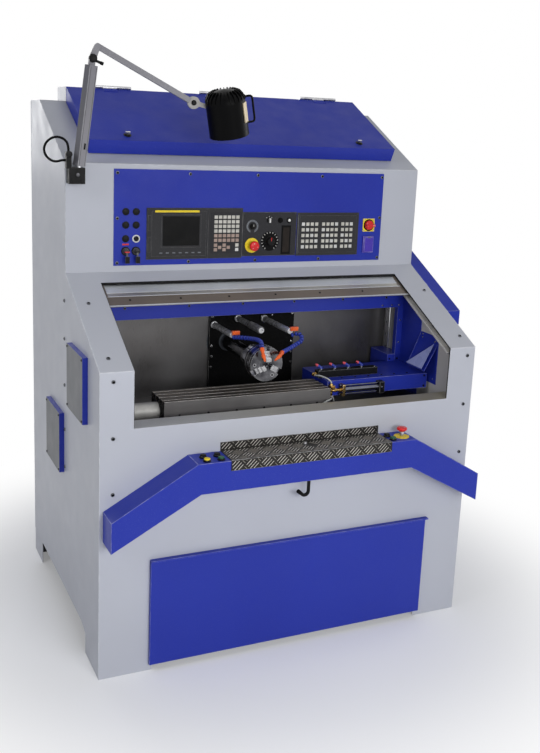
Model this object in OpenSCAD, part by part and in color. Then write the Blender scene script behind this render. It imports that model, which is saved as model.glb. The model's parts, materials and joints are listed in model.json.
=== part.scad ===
// CNC key cutting centre: enclosed cabinet with control face, work area, console bar and lamp.
// Millimetres, +Z up, front towards -Y. The origin is on the floor, in the middle of the footprint.

/* [Cabinet] */
// Width over both side panels
cabinet_w = 1530; // [1490:5:1600]
// Depth from the lower front to the rear panel
cabinet_d = 1145; // [1120:5:1300]
// Height of the vertical lower front
front_h = 1140; // [1135:1:1160]
// Horizontal run of the sloped window face
slope_run = 510; // [500:1:520]
// Rise of the sloped window face
slope_rise = 255; // [250:1:262]
// Height of the upright control face
face_h = 410; // [405:5:450]
// Horizontal run of the sloped roof
roof_run = 455; // [445:1:470]
// Rise of the sloped roof
roof_rise = 225; // [215:1:240]
// Thickness of the cabinet sheet
sheet_t = 3; // [2:0.5:4]
// Width of each front leg
leg_w = 200; // [190:1:205]
// Height of the tank opening between the legs
tank_open_h = 430; // [430:1:436]
// Length of each front foot along the side
front_foot_l = 193; // [170:1:220]
// Length of each rear foot along the side
rear_foot_l = 160; // [130:1:190]
// Height of the recess between the feet
recess_h = 98; // [90:1:101]

/* [Window] */
// Margin between the side of the cabinet and the window
window_margin = 121; // [119:1:130]
// Margin above the window, measured down the slope
window_top_margin = 69; // [60:1:80]
// Drop from the slope's lower edge to the window's lower edge
sill_drop = 206; // [195:1:214]
// Depth of the sill shelf
sill_d = 92; // [70:1:110]

/* [Work area] */
// Gap between the outer side panels and the inner walls
wall_gap = 60; // [58:1:66]
// Distance of the inner back wall from the front
back_y = 600; // [596:1:625]
// Drop from the slope's lower edge to the chip tray floor
tray_drop = 282; // [280:1:288]
// Rise from the slope's lower edge to the inner ceiling
ceiling_rise = 190; // [185:1:194]
// Rise from the slope's lower edge to the header beam
header_rise = 77; // [65:1:90]
// Front face of the portal frame
portal_y = 450; // [446:1:460]
// Depth of the portal frame
portal_d = 25; // [20:1:28]

/* [Spindle] */
// Sideways place of the spindle axis, from the left side of the cabinet
spindle_x = 700; // [690:1:720]
// Drop from the slope's lower edge to the spindle axis
spindle_drop = 65; // [55:1:70]
// Front face of the chuck, from the front of the cabinet
chuck_y = 190; // [180:1:200]
// Diameter of the chuck
chuck_d = 134; // [125:1:138]
// Diameter of the spindle nose
nose_d = 64; // [58:1:70]

/* [Table] */
// Width of the slotted table
table_w = 688; // [640:1:690]
// Depth of the slotted table
table_d = 152; // [140:1:156]
// Drop from the slope's lower edge to the table's top face
table_drop = 174; // [172:1:178]
// Width of the T-slots
slot_w = 12; // [10:1:14]

/* [Carriage] */
// Length of the tool carriage arm
arm_l = 472; // [460:1:474]
// Height of the tool carriage arm
arm_h = 62; // [56:1:64]
// Drop from the slope's lower edge to the top face of the arm
arm_drop = 159; // [158:1:162]
// Spacing of the mist nozzles
nozzle_pitch = 63; // [56:1:66]

/* [Door] */
// Length of the door sash down the slope
sash_l = 510; // [500:1:512]
// How far the open sash shows below the top of the slope
sash_show = 208; // [200:1:214]
// Thickness of the door sash
sash_t = 20; // [16:1:21]

/* [Lid] */
// Width of the roof lid
lid_w = 1325; // [1280:5:1330]
// Height of the lid's front lip
lid_h = 57; // [50:1:60]
// Distance of the lid's front edge from the lower edge of the roof
lid_inset = 71; // [66:1:80]
// Thickness of the lid sheet
lid_t = 2; // [1.5:0.5:3]

/* [Control face] */
// Left edge of the control plate
plate_x = 184; // [180:1:190]
// Width of the control plate
plate_w = 1176; // [1172:1:1180]
// Height of the control plate
plate_h = 368; // [366:1:374]
// Height of the plate's lower edge above the slope
plate_z = 24; // [22:1:30]
// Width of the screen and keyboard unit
screen_w = 400; // [396:1:402]
// Height of the screen and keyboard unit
screen_h = 200; // [196:1:202]
// Width of the operator key panel
keys_w = 290; // [286:1:291]
// Height of the operator key panel
keys_h = 178; // [174:1:182]
// How far the units stand back behind the face
unit_depth = 46; // [30:1:50]

/* [Console] */
// Depth of the console bar
bar_d = 108; // [104:1:114]
// Height of the console bar
bar_h = 113; // [100:1:120]
// Drop from the slope's lower edge to the bar's top in the middle
bar_drop = 321; // [315:1:325]
// Sideways run of each sloped wing
wing_run = 306; // [290:1:320]
// Drop of each sloped wing
wing_drop = 175; // [165:1:180]
// Gap between the bar's ends and the sides of the cabinet
bar_inset = 14; // [10:1:20]
// Width of the tread plate tray
tread_w = 656; // [640:1:664]
// Height of the tray's rear upstand
tread_up = 31; // [28:1:36]
// Height of the tray's front lip
tread_lip = 40; // [34:1:44]
// Diameter of the console buttons
button_d = 22; // [20:0.5:24]
// Travel of the push buttons
button_travel = 4; // [3:0.5:4.5]

/* [Coolant tank] */
// Width of the tank front
tank_w = 1160; // [1150:1:1166]
// Height of the tank front
tank_h = 412; // [411:1:414]
// Gap between the tank front and the floor
tank_gap = 27; // [24:1:28]
// How far the tank front stands proud of the cabinet
tank_proud = 16; // [12:1:20]
// Length of the tank
tank_l = 640; // [560:1:700]

/* [Lamp] */
// Height of the lamp's shoulder below the top of the control face
shoulder_drop = 10; // [5:1:11]
// Length of the lower arm
lower_arm_l = 384; // [370:1:392]
// Lean of the lower arm to the right
arm_lean = 7; // [5:0.5:8]
// Side of the square lower arm
arm_side = 34; // [30:1:36]
// Turn of the lamp towards the front
lamp_turn = 8; // [7:0.5:10]
// Length of the upper arm
upper_arm_l = 398; // [380:1:405]
// Diameter of the lamp head
head_d = 152; // [140:1:158]

/* [Side fittings] */
// Side length of the square service covers
cover_s = 243; // [220:1:250]
// How far the service covers stand out
cover_out = 20; // [16:1:24]
// How far the door housing stands out on the right
housing_out = 62; // [56:1:66]

/* [Hidden] */
$fn = 48;
eps = 0.01;
touch = 0.3;   // gap between pieces of different bodies that lie against each other
run_gap = 0.05;   // radial running clearance of pins and shafts

slope_angle = atan(slope_rise / slope_run);
slope_len = sqrt(slope_run * slope_run + slope_rise * slope_rise);
slope_top = front_h + slope_rise;
sill_h = front_h - sill_drop;
tray_z = front_h - tray_drop;
ceiling_z = front_h + ceiling_rise;
header_z = front_h + header_rise;
spindle_z = front_h - spindle_drop;
table_z = front_h - table_drop;
arm_z = front_h - arm_drop;
bar_z = front_h - bar_drop;
face_top = slope_top + face_h;
total_h = face_top + roof_rise;
shoulder_z = face_top - shoulder_drop;
roof_top_y = slope_run + roof_run;
roof_angle = atan(roof_rise / roof_run);
roof_len = sqrt(roof_run * roof_run + roof_rise * roof_rise);

// Footprint of everything, so that the origin is in its middle
loop_out = 85.5;
tread_t = 3;
front_out = bar_d + tread_t;
left_x = loop_out - (cabinet_w + housing_out + loop_out) / 2;
front_y = front_out - (cabinet_d + front_out) / 2;

GREY = [0.74, 0.75, 0.78];
BLUE = [0.2, 0.25, 0.66];
STEEL = [0.6, 0.6, 0.6];
DARK = [0.16, 0.16, 0.17];
BLACK = [0.05, 0.05, 0.05];
ORANGE = [0.95, 0.36, 0.1];
RED = [0.8, 0.1, 0.08];
YELLOW = [0.92, 0.8, 0.15];
GREEN = [0.1, 0.5, 0.3];
BRASS = [0.75, 0.6, 0.3];

// ---------- helpers ----------

// Places pieces whose X runs from the left side and whose Y runs from the lower front
module in_cabinet() translate([left_x, front_y, 0]) children();

// Extrudes a (Y, Z) outline along X
module across(x, length) translate([x, 0, 0]) rotate([90, 0, 90]) linear_extrude(length) children();

// Extrudes an (X, Z) outline along Y
module along_y(y, length) translate([0, y + length, 0]) rotate([90, 0, 0]) linear_extrude(length)
    children();

// Y runs up the window slope from its lower bend, Z stands out of it
module on_slope() translate([0, 0, front_h]) rotate([slope_angle, 0, 0]) children();

// Y runs up the roof slope from its lower bend, Z stands out of it
module on_roof() translate([0, slope_run, face_top]) rotate([roof_angle, 0, 0]) children();

// A round bar along +Y from y
module bar_y(x, y, z, r, length) translate([x, y, z]) rotate([-90, 0, 0]) cylinder(r = r, h = length);

// A round bar along +X from x
module bar_x(x, y, z, r, length) translate([x, y, z]) rotate([0, 90, 0]) cylinder(r = r, h = length);

// A square tube with open ends, along one axis
module tube(size, wall, axis) {
    cut = [for (i = [0:2]) i == axis ? size[i] + 2 : size[i] - 2 * wall];
    from = [for (i = [0:2]) i == axis ? -1 : wall];
    difference() {
        cube(size);
        translate(from) cube(cut);
    }
}

// A cap screw whose head stands on the face at z = 0
module cap_screw(r, h) {
    difference() {
        cylinder(r = r, h = h);
        translate([0, 0, h * 0.4]) cylinder(r = r * 0.55, h = h, $fn = 6);
    }
}

// ---------- cabinet ----------

module side_outline() polygon([
    [0, 0], [front_foot_l, 0], [front_foot_l, recess_h - 20], [front_foot_l + 65, recess_h],
    [cabinet_d - rear_foot_l, recess_h], [cabinet_d - rear_foot_l, 0], [cabinet_d, 0],
    [cabinet_d, total_h], [roof_top_y, total_h], [slope_run, face_top], [slope_run, slope_top],
    [0, front_h]]);

module left_side_panel() color(GREY) in_cabinet() across(0, sheet_t) side_outline();

module right_side_panel() color(GREY) in_cabinet() across(cabinet_w - sheet_t, sheet_t) side_outline();

slope_drop = sheet_t / cos(slope_angle);
inner_w = cabinet_w - 2 * sheet_t;
window_w = cabinet_w - 2 * window_margin;
window_l = slope_len - window_top_margin;

// A point of the (Y, Z) outline, y along the window slope and z out of it
function slope_at(y, z) = [y * cos(slope_angle) - z * sin(slope_angle),
    front_h + y * sin(slope_angle) + z * cos(slope_angle)];

// One bent sheet with the window and the tank opening cut in it
module front_skin() color(GREY) in_cabinet() difference() {
    across(sheet_t, inner_w) polygon([[0, 0], [sheet_t, 0],
        [sheet_t, front_h + sheet_t * tan(slope_angle) - slope_drop],
        [slope_run, slope_top - slope_drop], [slope_run, slope_top], [0, front_h]]);
    across(window_margin, window_w) polygon([[-5, sill_h], [30, sill_h],
        slope_at(60, -30), slope_at(window_l, -30), slope_at(window_l, 10), slope_at(-20, 10)]);
    translate([leg_w, -1, -1]) cube([cabinet_w - 2 * leg_w, sheet_t + 2, tank_open_h + 1]);
}

// Control units, measured from the left side and from the top of the slope
screen_x = plate_x + 129;
screen_z = slope_top + 46;
keys_x = plate_x + 773;
keys_z = slope_top + 50;
sub_x = screen_x + screen_w;
sub_w = keys_x - 3 - sub_x;
sub_z = keys_z + 2;
sub_h = keys_h;
plate_t = 3;
plate_y = slope_run - plate_t;

module control_face() color(GREY) in_cabinet() difference() {
    translate([sheet_t, slope_run, slope_top]) cube([inner_w, sheet_t, face_h - sheet_t]);
    translate([plate_x + 20, slope_run - 1, screen_z - 4])
        cube([plate_w - 40, sheet_t + 2, screen_h + 8]);
}

lid_x = (cabinet_w - lid_w) / 2 + 1;
lid_foot = 3;
lid_top_t = lid_foot + lid_h;
lid_end_u = roof_len + 6;
box_y0 = slope_run + lid_end_u * cos(roof_angle) - lid_top_t * sin(roof_angle) + 6;
box_back = 42;
box_d = cabinet_d - box_back - box_y0;
box_top = face_top + lid_end_u * sin(roof_angle) + lid_top_t * cos(roof_angle);
hinge_r = 6;
hinge_y = box_y0 - 3;
hinge_z = box_top + hinge_r + 0.5;
hinge_pin_r = 3;
knuckle_l = 60;
hinge_xs = [lid_x + 180, cabinet_w / 2, lid_x + lid_w - 180];

// One hinge: two fixed knuckles with the pin, and a gap between them for the lid's knuckle
module hinge_fixed(x) {
    for (side = [-1, 1]) translate([x + side * (knuckle_l + touch) - knuckle_l / 2, 0, 0]) {
        bar_x(0, hinge_y, hinge_z, hinge_r, knuckle_l);
        translate([0, hinge_y, box_top]) cube([knuckle_l, 26, 2]);
        translate([0, hinge_y, box_top]) cube([knuckle_l, hinge_r - 2, hinge_r]);
    }
    bar_x(x - knuckle_l, hinge_y, hinge_z, hinge_pin_r, 2 * knuckle_l);
}

module roof_panel() color(GREY) in_cabinet() {
    difference() {
        across(sheet_t, inner_w) polygon([[slope_run + sheet_t, face_top - sheet_t],
            [roof_top_y, total_h - 2 * sheet_t], [cabinet_d - sheet_t, total_h - 2 * sheet_t],
            [cabinet_d - sheet_t, total_h], [roof_top_y, total_h], [slope_run, face_top],
            [slope_run, face_top - sheet_t]]);
        on_roof() translate([lid_x + 30, lid_inset + 30, -30])
            cube([lid_w - 60, roof_len - lid_inset - 60, 60]);
    }
    difference() {
        translate([lid_x, box_y0, total_h - 1]) cube([lid_w, box_d, box_top - total_h + 1]);
        translate([lid_x + 2, box_y0 + 2, total_h - 2]) cube([lid_w - 4, box_d - 4, box_top - total_h]);
    }
    for (x = hinge_xs) hinge_fixed(x);
}

module rear_panel() color(GREY) in_cabinet() difference() {
    translate([sheet_t, cabinet_d - sheet_t, recess_h])
        cube([inner_w, sheet_t, total_h - recess_h - 2 * sheet_t]);
    for (x = [360, cabinet_w - 360], i = [0:7])
        translate([x - 110, cabinet_d - sheet_t - 1, 1500 + 24 * i]) cube([220, sheet_t + 2, 8]);
}

// ---------- frame and work area ----------

post = wall_gap - sheet_t - 3;
frame_z = tray_z - 3;
rail_z = 128;

module base_frame() color(DARK) in_cabinet() {
    for (x = [sheet_t, cabinet_w - sheet_t - post]) {
        translate([x, sheet_t, 0]) tube([post, post, frame_z - post], 4, 2);
        for (y = [sheet_t, cabinet_d - sheet_t - post]) translate([x, y, 0]) cube([post, post, 8]);
        translate([x, cabinet_d - sheet_t - post, 0]) tube([post, post, total_h - 2 * sheet_t - 1], 4, 2);
        translate([x, sheet_t, frame_z - post]) tube([post, cabinet_d - 2 * sheet_t - post, post], 4, 1);
        translate([x, sheet_t + post, recess_h + 4])
            tube([post, cabinet_d - 2 * (sheet_t + post), 40], 4, 1);
    }
    for (y = [sheet_t, back_y + 2])
        translate([sheet_t + post, y, frame_z - post]) tube([inner_w - 2 * post, post, post], 4, 0);
    for (y = [150, 860])
        translate([sheet_t + post, y, rail_z - 24]) tube([inner_w - 2 * post, 40, 24], 3, 0);
    for (x = [leg_w - 6, cabinet_w - leg_w - 14])
        translate([x, 100, rail_z]) cube([20, 860, 12]);
}

door_room = 45 / cos(slope_angle);
liner_front = 6;
liner_t = 2;

// Height of the liner's edge under the door at distance y from the front
function under_door(y) = front_h + y * tan(slope_angle) - door_room;

module liner_side() polygon([[liner_front, tray_z], [back_y, tray_z], [back_y, ceiling_z],
    [(ceiling_z - front_h + door_room) / tan(slope_angle), ceiling_z],
    [liner_front, under_door(liner_front)]]);

module work_liner() color(STEEL) in_cabinet() {
    difference() {
        union() {
            across(wall_gap - liner_t, liner_t) liner_side();
            across(cabinet_w - wall_gap, liner_t) liner_side();
            translate([wall_gap - liner_t, back_y, tray_z])
                cube([cabinet_w - 2 * wall_gap + 2 * liner_t, liner_t, ceiling_z + liner_t - tray_z]);
            translate([wall_gap - liner_t, portal_y + portal_d + 8, ceiling_z])
                cube([cabinet_w - 2 * wall_gap + 2 * liner_t, back_y - portal_y - portal_d - 8, liner_t]);
        }
        bar_y(spindle_x, back_y - 1, spindle_z, 90, 10);
        // The sleeve of the table's cover passes the left wall
        bar_x(wall_gap - 10, cover_y, screw_z, sleeve_r + 1, 20);
    }
}

module chip_tray() color(STEEL) in_cabinet() {
    difference() {
        translate([wall_gap - liner_t, sheet_t, tray_z - 3])
            cube([cabinet_w - 2 * wall_gap + 2 * liner_t, back_y + liner_t - sheet_t, 3]);
        translate([cabinet_w / 2 + 120, 480, tray_z - 10]) cylinder(r = 40, h = 20);
    }
    // Bent sill: a shelf behind the window's lower edge and an apron down to the tray
    across(wall_gap, cabinet_w - 2 * wall_gap) polygon([[sheet_t, sill_h - 3], [sill_d - 3, sill_h - 3],
        [sill_d - 3, tray_z], [sill_d, tray_z], [sill_d, sill_h], [sheet_t, sill_h]]);
}

header_top = ceiling_z - 8;
portal_post_w = 30;
lining_y = 300;

module portal_frame() color(BLUE) in_cabinet() {
    translate([wall_gap, portal_y, header_z])
        cube([cabinet_w - 2 * wall_gap, portal_d, header_top - header_z]);
    for (x = [wall_gap, cabinet_w - wall_gap - portal_post_w])
        translate([x, portal_y, tray_z]) cube([portal_post_w, portal_d, header_z - tray_z]);
    for (x = [wall_gap, cabinet_w - wall_gap - liner_t])
        across(x, liner_t) polygon([[lining_y, tray_z], [portal_y, tray_z], [portal_y, header_top - 14],
            [portal_y - 8, under_door(portal_y - 8) - 4], [lining_y, under_door(lining_y) - 4]]);
}

rail_x = window_margin - 37;
rail_w = 36;
rail_len = slope_len + 320;
sash_top = -sheet_t - 5;
groove_t = sash_t + 4;

module door_rails() color(STEEL) in_cabinet() on_slope() for (side = [0, 1])
    translate([side * cabinet_w, 0, 0]) mirror([side, 0, 0]) difference() {
        translate([rail_x, 8, sash_top - sash_t - touch - 8])
            cube([rail_w, rail_len - 8, sash_t + touch + 8 - sheet_t - sash_top]);
        translate([rail_x + 8, -1, sash_top - sash_t - touch]) cube([rail_w, rail_len + 2, groove_t]);
    }

// ---------- spindle ----------

plate_left = spindle_x - 83;
plate_right = spindle_x + 306;
plate_low = spindle_z - 201;
plate_high = spindle_z + 165;
black_t = 12;
seat_y = back_y - black_t;

module spindle_plate() color(BLACK) in_cabinet() {
    difference() {
        translate([plate_left, seat_y, plate_low])
            cube([plate_right - plate_left, black_t, plate_high - plate_low]);
        bar_y(spindle_x, seat_y - 1, spindle_z, nose_d / 2 + 8, black_t + 2);
    }
    for (x = [plate_left + 9, plate_right - 12], z = [8, 96, 142, 186, 312])
        translate([x, seat_y, plate_low + z]) rotate([90, 0, 0]) cap_screw(5, 6);
}

drive_y = back_y + liner_t;
drive_x0 = spindle_x - 110;
motor_z = spindle_z + 210;
motor_r = 70;
pulley_y = drive_y + 300;

module spindle_drive() color(DARK) in_cabinet() {
    // Cast headstock on the frame, with the spindle bore
    difference() {
        union() {
            translate([drive_x0, drive_y, frame_z]) cube([220, 290, spindle_z - frame_z]);
            bar_y(spindle_x, drive_y, spindle_z, 100, 290);
            bar_y(spindle_x, seat_y, spindle_z, nose_d / 2 + 7.9, black_t + liner_t + 1);
            translate([spindle_x - 80, drive_y + 10, spindle_z])
                cube([160, 270, motor_z - motor_r + 6 - spindle_z]);
        }
        bar_y(spindle_x, seat_y - 1, spindle_z, nose_d / 2 + run_gap, 400);
    }
    // Motor on top and its pulley
    bar_y(spindle_x, drive_y + 20, motor_z, motor_r, 260);
    bar_y(spindle_x, drive_y + 280, motor_z, 12, 50);
    bar_y(spindle_x, pulley_y, motor_z, 36, 24);
}

chuck_len = 60;
body_len = 75;
collar_len = 15;
jaw_w = 22;
jaw_from = 14;
jaw_to = 52;
jaw_deep = 16;
jaw_proud = 20;

// The chuck's own frame: Z out of its face, at the spindle axis
module at_chuck() translate([spindle_x, chuck_y, spindle_z]) rotate([90, 0, 0]) children();

module jaw_slot(gap) translate([5, -jaw_w / 2 - gap, -jaw_deep - gap])
    cube([chuck_d, jaw_w + 2 * gap, jaw_deep + 20]);

module chuck() color(STEEL) in_cabinet() {
    difference() {
        at_chuck() union() {
            translate([0, 0, -chuck_len]) cylinder(d = chuck_d, h = chuck_len);
            translate([0, 0, -chuck_len - body_len]) cylinder(r = nose_d / 2 + 6, h = body_len);
            translate([0, 0, -chuck_len - body_len - collar_len])
                cylinder(r = nose_d / 2 + 14, h = collar_len);
            translate([0, 0, -(pulley_y + 30 - chuck_y)])
                cylinder(d = nose_d, h = pulley_y + 30 - chuck_y - 100);
        }
        at_chuck() for (a = [90, 210, 330]) rotate(a) jaw_slot(touch);
        at_chuck() rotate(45) translate([0, 0, 4 - chuck_len]) cylinder(r = jaw_from, h = chuck_len);
    }
    bar_y(spindle_x, pulley_y, spindle_z, 62, 24);
}

// One stepped jaw, which slides out along its slot
module jaw(a) color(STEEL) in_cabinet() at_chuck() rotate(a) {
    translate([jaw_from, -jaw_w / 2, -jaw_deep]) cube([jaw_to - jaw_from, jaw_w, jaw_deep]);
    translate([jaw_from, -jaw_w / 2, -eps]) cube([jaw_to - jaw_from - 12, jaw_w, jaw_proud / 2]);
    translate([jaw_from, -jaw_w / 2, -eps]) cube([14, jaw_w, jaw_proud]);
}

module chuck_jaw_1() jaw(90);
module chuck_jaw_2() jaw(210);
module chuck_jaw_3() jaw(330);

// Coolant posts, their taps and jointed hoses: [x, z, length, tap height]
left_post = [spindle_x - 64, spindle_z + 75, 205];
mid_post = [spindle_x + 43, spindle_z + 97, 245];
right_post = [spindle_x + 164, spindle_z + 91, 258];
post_r = 12;
bead_r = 8;
bead_rings = 4;   // rings to one bead
beads_per_span = 3;

// Points given from the spindle axis
function by_spindle(route) = [for (p = route) p + [spindle_x, 0, spindle_z]];

left_route = by_spindle([[-60, 384, 67], [-46, 340, 75], [-28, 296, 80], [-18, 250, 85],
    [-20, 206, 85], [-30, 172, 69]]);
right_route = by_spindle([[168, 330, 75], [196, 312, 83], [190, 278, 65], [150, 254, 53],
    [108, 224, 47], [64, 190, 44]]);
left_nozzle = by_spindle([[-30, 172, 69], [-31, 156, 47], [-24, 152, 23]]);
right_nozzle = by_spindle([[64, 190, 44], [44, 166, 38], [16, 150, 25]]);

// Direction from one point to another as rotations about X then Z
function lean(d) = acos(d[2] / norm(d));
function heading(d) = atan2(d[1], d[0]);

// A smooth curve through a route's points, with n steps to a span
function span_point(p, i, t) = let (a = p[max(i - 1, 0)], b = p[i], c = p[i + 1],
        d = p[min(i + 2, len(p) - 1)])
    (2 * b + (c - a) * t + (2 * a - 5 * b + 4 * c - d) * t * t + (3 * b - a - 3 * c + d) * t * t * t) / 2;
function smooth(p, n) = [for (i = [0:len(p) - 2], k = [0:n - 1]) span_point(p, i, k / n), p[len(p) - 1]];

// A tube swept along points with a radius at each; side is any direction off the tube's line
function unit(v) = v / norm(v);
function along(p, i) = unit(p[min(i + 1, len(p) - 1)] - p[max(i - 1, 0)]);
function ring(p, i, r, side, sides) = let (t = along(p, i), a = unit(cross(t, side)), b = cross(t, a))
    [for (k = [0:sides - 1]) p[i] + r * (cos(360 * k / sides) * a + sin(360 * k / sides) * b)];
module sweep(p, radii, side, sides) {
    n = len(p);
    points = [for (i = [0:n - 1]) each ring(p, i, radii[i], side, sides)];
    walls = [for (i = [0:n - 2], k = [0:sides - 1]) let (q = (k + 1) % sides)
        each [[i * sides + q, i * sides + k, (i + 1) * sides + k],
              [i * sides + q, (i + 1) * sides + k, (i + 1) * sides + q]]];
    caps = [[for (k = [0:sides - 1]) k], [for (k = [0:sides - 1]) n * sides - 1 - k]];
    polyhedron(points, concat(walls, caps), convexity = 6);
}

// A jointed hose: beads that swell and narrow along the route
module beads(route) {
    p = smooth(route, bead_rings * beads_per_span);
    sweep(p, [for (i = [0:len(p) - 1])
            bead_r * (i % bead_rings == 0 ? 0.62 : i % bead_rings == 2 ? 1 : 0.9)],
        [0, 0, 1], 12);
}

// A cone nozzle from one point to another
module nozzle(from, to) translate(from) rotate([0, lean(to - from), heading(to - from)]) {
    cylinder(r1 = bead_r, r2 = bead_r, h = norm(to - from) * 0.35, $fn = 24);
    translate([0, 0, norm(to - from) * 0.35 - eps])
        cylinder(r1 = bead_r * 0.85, r2 = 3, h = norm(to - from) * 0.65, $fn = 24);
}

module coolant_lines() in_cabinet() {
    color(STEEL) {
        bar_y(left_post[0], seat_y - left_post[2], left_post[1], post_r, left_post[2]);
        bar_y(right_post[0], seat_y - right_post[2], right_post[1], post_r, right_post[2]);
        bar_y(mid_post[0], seat_y - mid_post[2], mid_post[1], post_r, mid_post[2]);
        for (i = [0:5]) bar_y(mid_post[0], seat_y - mid_post[2] + 8 + 18 * i, mid_post[1], post_r + 3, 12);
    }
    color(BLUE) {
        beads(left_route);
        beads(right_route);
    }
    color(ORANGE) {
        translate([left_post[0] - 4, seat_y - left_post[2] - 8, left_post[1] + 2]) cube([32, 14, 16]);
        translate([right_post[0] - 2, seat_y - right_post[2] - 8, right_post[1] + 2]) cube([34, 14, 16]);
        for (n = [left_nozzle, right_nozzle]) {
            nozzle(n[0], n[1]);
            nozzle(n[1], n[2]);
        }
    }
}

// ---------- table and carriage ----------

carriage_x1 = cabinet_w - 75;
arm_x0 = carriage_x1 - arm_l;
table_x = arm_x0 - 11 - table_w;
table_y = 165;
table_h = 66;
slot_n = 4;
table_travel = 135;
cover_r = 36;
cover_l = table_x - wall_gap - table_travel - 3;
sleeve_r = 33;
cover_y = table_y + table_d / 2;
screw_z = tray_z + cover_r + 20;
sleeve_l = table_x - wall_gap - cover_l + 4;

// The table, with the cover's inner sleeve on its end
module slotted_table() color(STEEL) in_cabinet() difference() {
    union() {
        translate([table_x, table_y, table_z - table_h]) cube([table_w, table_d, table_h]);
        translate([table_x - 2, cover_y - 40, screw_z - 38]) cube([3, 80, 68]);
        bar_x(table_x - sleeve_l, cover_y, screw_z, sleeve_r, sleeve_l - 1);
    }
    bar_x(table_x - sleeve_l - 1, cover_y, screw_z, sleeve_r - 3, sleeve_l - 10);
    for (i = [0:slot_n - 1])
        translate([table_x - 1, table_y + table_d * (i + 0.5) / slot_n - slot_w / 2, 0]) {
        translate([0, 0, table_z - 18]) cube([table_w + 2, slot_w, 20]);
        translate([0, -4, table_z - 20]) cube([table_w + 2, slot_w + 8, 9]);
    }
    translate([table_x - 1, table_y + 40, table_z - table_h - 1]) cube([table_w + 2, table_d - 80, 13]);
}

module table_bed() color(DARK) in_cabinet() {
    translate([table_x + 20, table_y + 20, tray_z])
        cube([table_w - 60, table_d - 40, table_z - table_h - tray_z - touch]);
    translate([table_x + 20, table_y + 40 + touch, tray_z])
        cube([table_w - 60, table_d - 80 - 2 * touch, table_z - table_h - tray_z + 12 - touch]);
}

// Telescopic cover of the table's lead screw: a sleeve on the wall
module screw_cover() color(STEEL) in_cabinet() difference() {
    union() {
        bar_x(wall_gap, cover_y, screw_z, cover_r, cover_l);
        bar_x(wall_gap, cover_y, screw_z, cover_r + 6, 5);
        bar_x(wall_gap + cover_l - 8, cover_y, screw_z, cover_r + 1.5, 6);
    }
    bar_x(wall_gap - 1, cover_y, screw_z, sleeve_r + touch, cover_l + 2);
}

guide_ys = [490, 560];

module linear_guides() color(STEEL) in_cabinet() for (y = guide_ys)
    translate([cabinet_w - wall_gap - 14, y - 9, tray_z + 12]) cube([14, 18, header_z - tray_z - 12]);

arm_y0 = 212;
arm_y1 = 440;
saddle_y1 = 584;

module tool_carriage() color(BLUE) in_cabinet() {
    translate([arm_x0, arm_y0, arm_z - arm_h]) cube([arm_l, arm_y1 - arm_y0, arm_h]);
    difference() {
        translate([cabinet_w - wall_gap - 72, arm_y1, arm_z - arm_h - 10])
            cube([70, saddle_y1 - arm_y1, arm_h + 40]);
        for (y = guide_ys) translate([cabinet_w - wall_gap - 14 - touch, y - 9 - touch, 0])
            cube([40, 18 + 2 * touch, 2000]);
        translate([cabinet_w - wall_gap - 73, portal_y - touch - 12, 0]) translate([38, 0, 0])
            cube([60, portal_d + 2 * touch + 12, 2000]);
    }
}

block_x = arm_x0 - 17;
block_l = 276;
block_y = 262;

module nozzle_block() in_cabinet() {
    color(BLACK) translate([block_x, block_y, arm_z]) cube([block_l, 36, 29]);
    for (i = [0:3]) translate([block_x + 22 + nozzle_pitch * i, block_y + 22, arm_z + 29]) {
        color(BLUE) cylinder(r = 7, h = 9);
        color(BLUE) translate([0, 0, 9]) rotate([0, -60, -20]) cylinder(r = 5.5, h = 16);
        color(RED) translate([0, 0, 9]) rotate([0, -60, -20]) translate([0, 0, 16])
            cylinder(r1 = 6, r2 = 3, h = 12);
    }
}

mist_x0 = arm_x0 + 51;
mist_x1 = arm_x0 + 243;
mist_z = arm_z - 35;
mist_y = arm_y0 - 17;

module mist_fittings() in_cabinet() {
    color(STEEL) bar_x(mist_x0 + 12, mist_y, mist_z, 12, mist_x1 - mist_x0 - 30);
    color(STEEL) for (s = [-1, 1]) bar_x(mist_x0 + 12, mist_y, mist_z + s * 17, 3, mist_x1 - mist_x0 - 30);
    color(BLACK) translate([mist_x1 - 20, mist_y - 17, mist_z - 24]) cube([24, arm_y0 - mist_y + 17, 48]);
    color(BLACK) translate([mist_x0, mist_y - 17, mist_z - 24]) cube([14, arm_y0 - mist_y + 17, 48]);
    color(BRASS) {
        bar_x(mist_x0 - 40, mist_y, mist_z, 7, 40);
        translate([mist_x0 - 44, mist_y, mist_z - 20]) cylinder(r = 8, h = 50, $fn = 6);
        translate([arm_x0 + 2, mist_y - 8, mist_z + 6]) cube([20, arm_y0 - mist_y + 8, 16]);
    }
}

chute_y0 = 172;
chute_y1 = 300;
chute_low = arm_z + 21;
chute_high = chute_low + 110;
chute_back_h = 203;
chute_run = 60;
chute_wall = 2;

module chute() color(BLUE) in_cabinet() {
    wall_x = cabinet_w - wall_gap;
    translate([wall_x - chute_wall, chute_y0 - 6, chute_low - 62])
        cube([chute_wall, chute_y1 - chute_y0 + 6, chute_back_h]);
    along_y(chute_y0, chute_y1 - chute_y0) polygon([[wall_x - chute_wall, chute_high],
        [wall_x - chute_run, chute_low], [wall_x - chute_run + 3, chute_low],
        [wall_x - chute_wall, chute_high - 6]]);
    along_y(chute_y1 - chute_wall, chute_wall) polygon([[wall_x - chute_wall, chute_high + 31],
        [wall_x - chute_run, chute_low + 4], [wall_x - chute_run, chute_low],
        [wall_x - chute_wall, chute_low]]);
}

// ---------- door ----------

sash_x = rail_x + 14;
sash_w = cabinet_w - 2 * sash_x;
sash_low = slope_len - sash_show;
sash_rail = 62;

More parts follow.
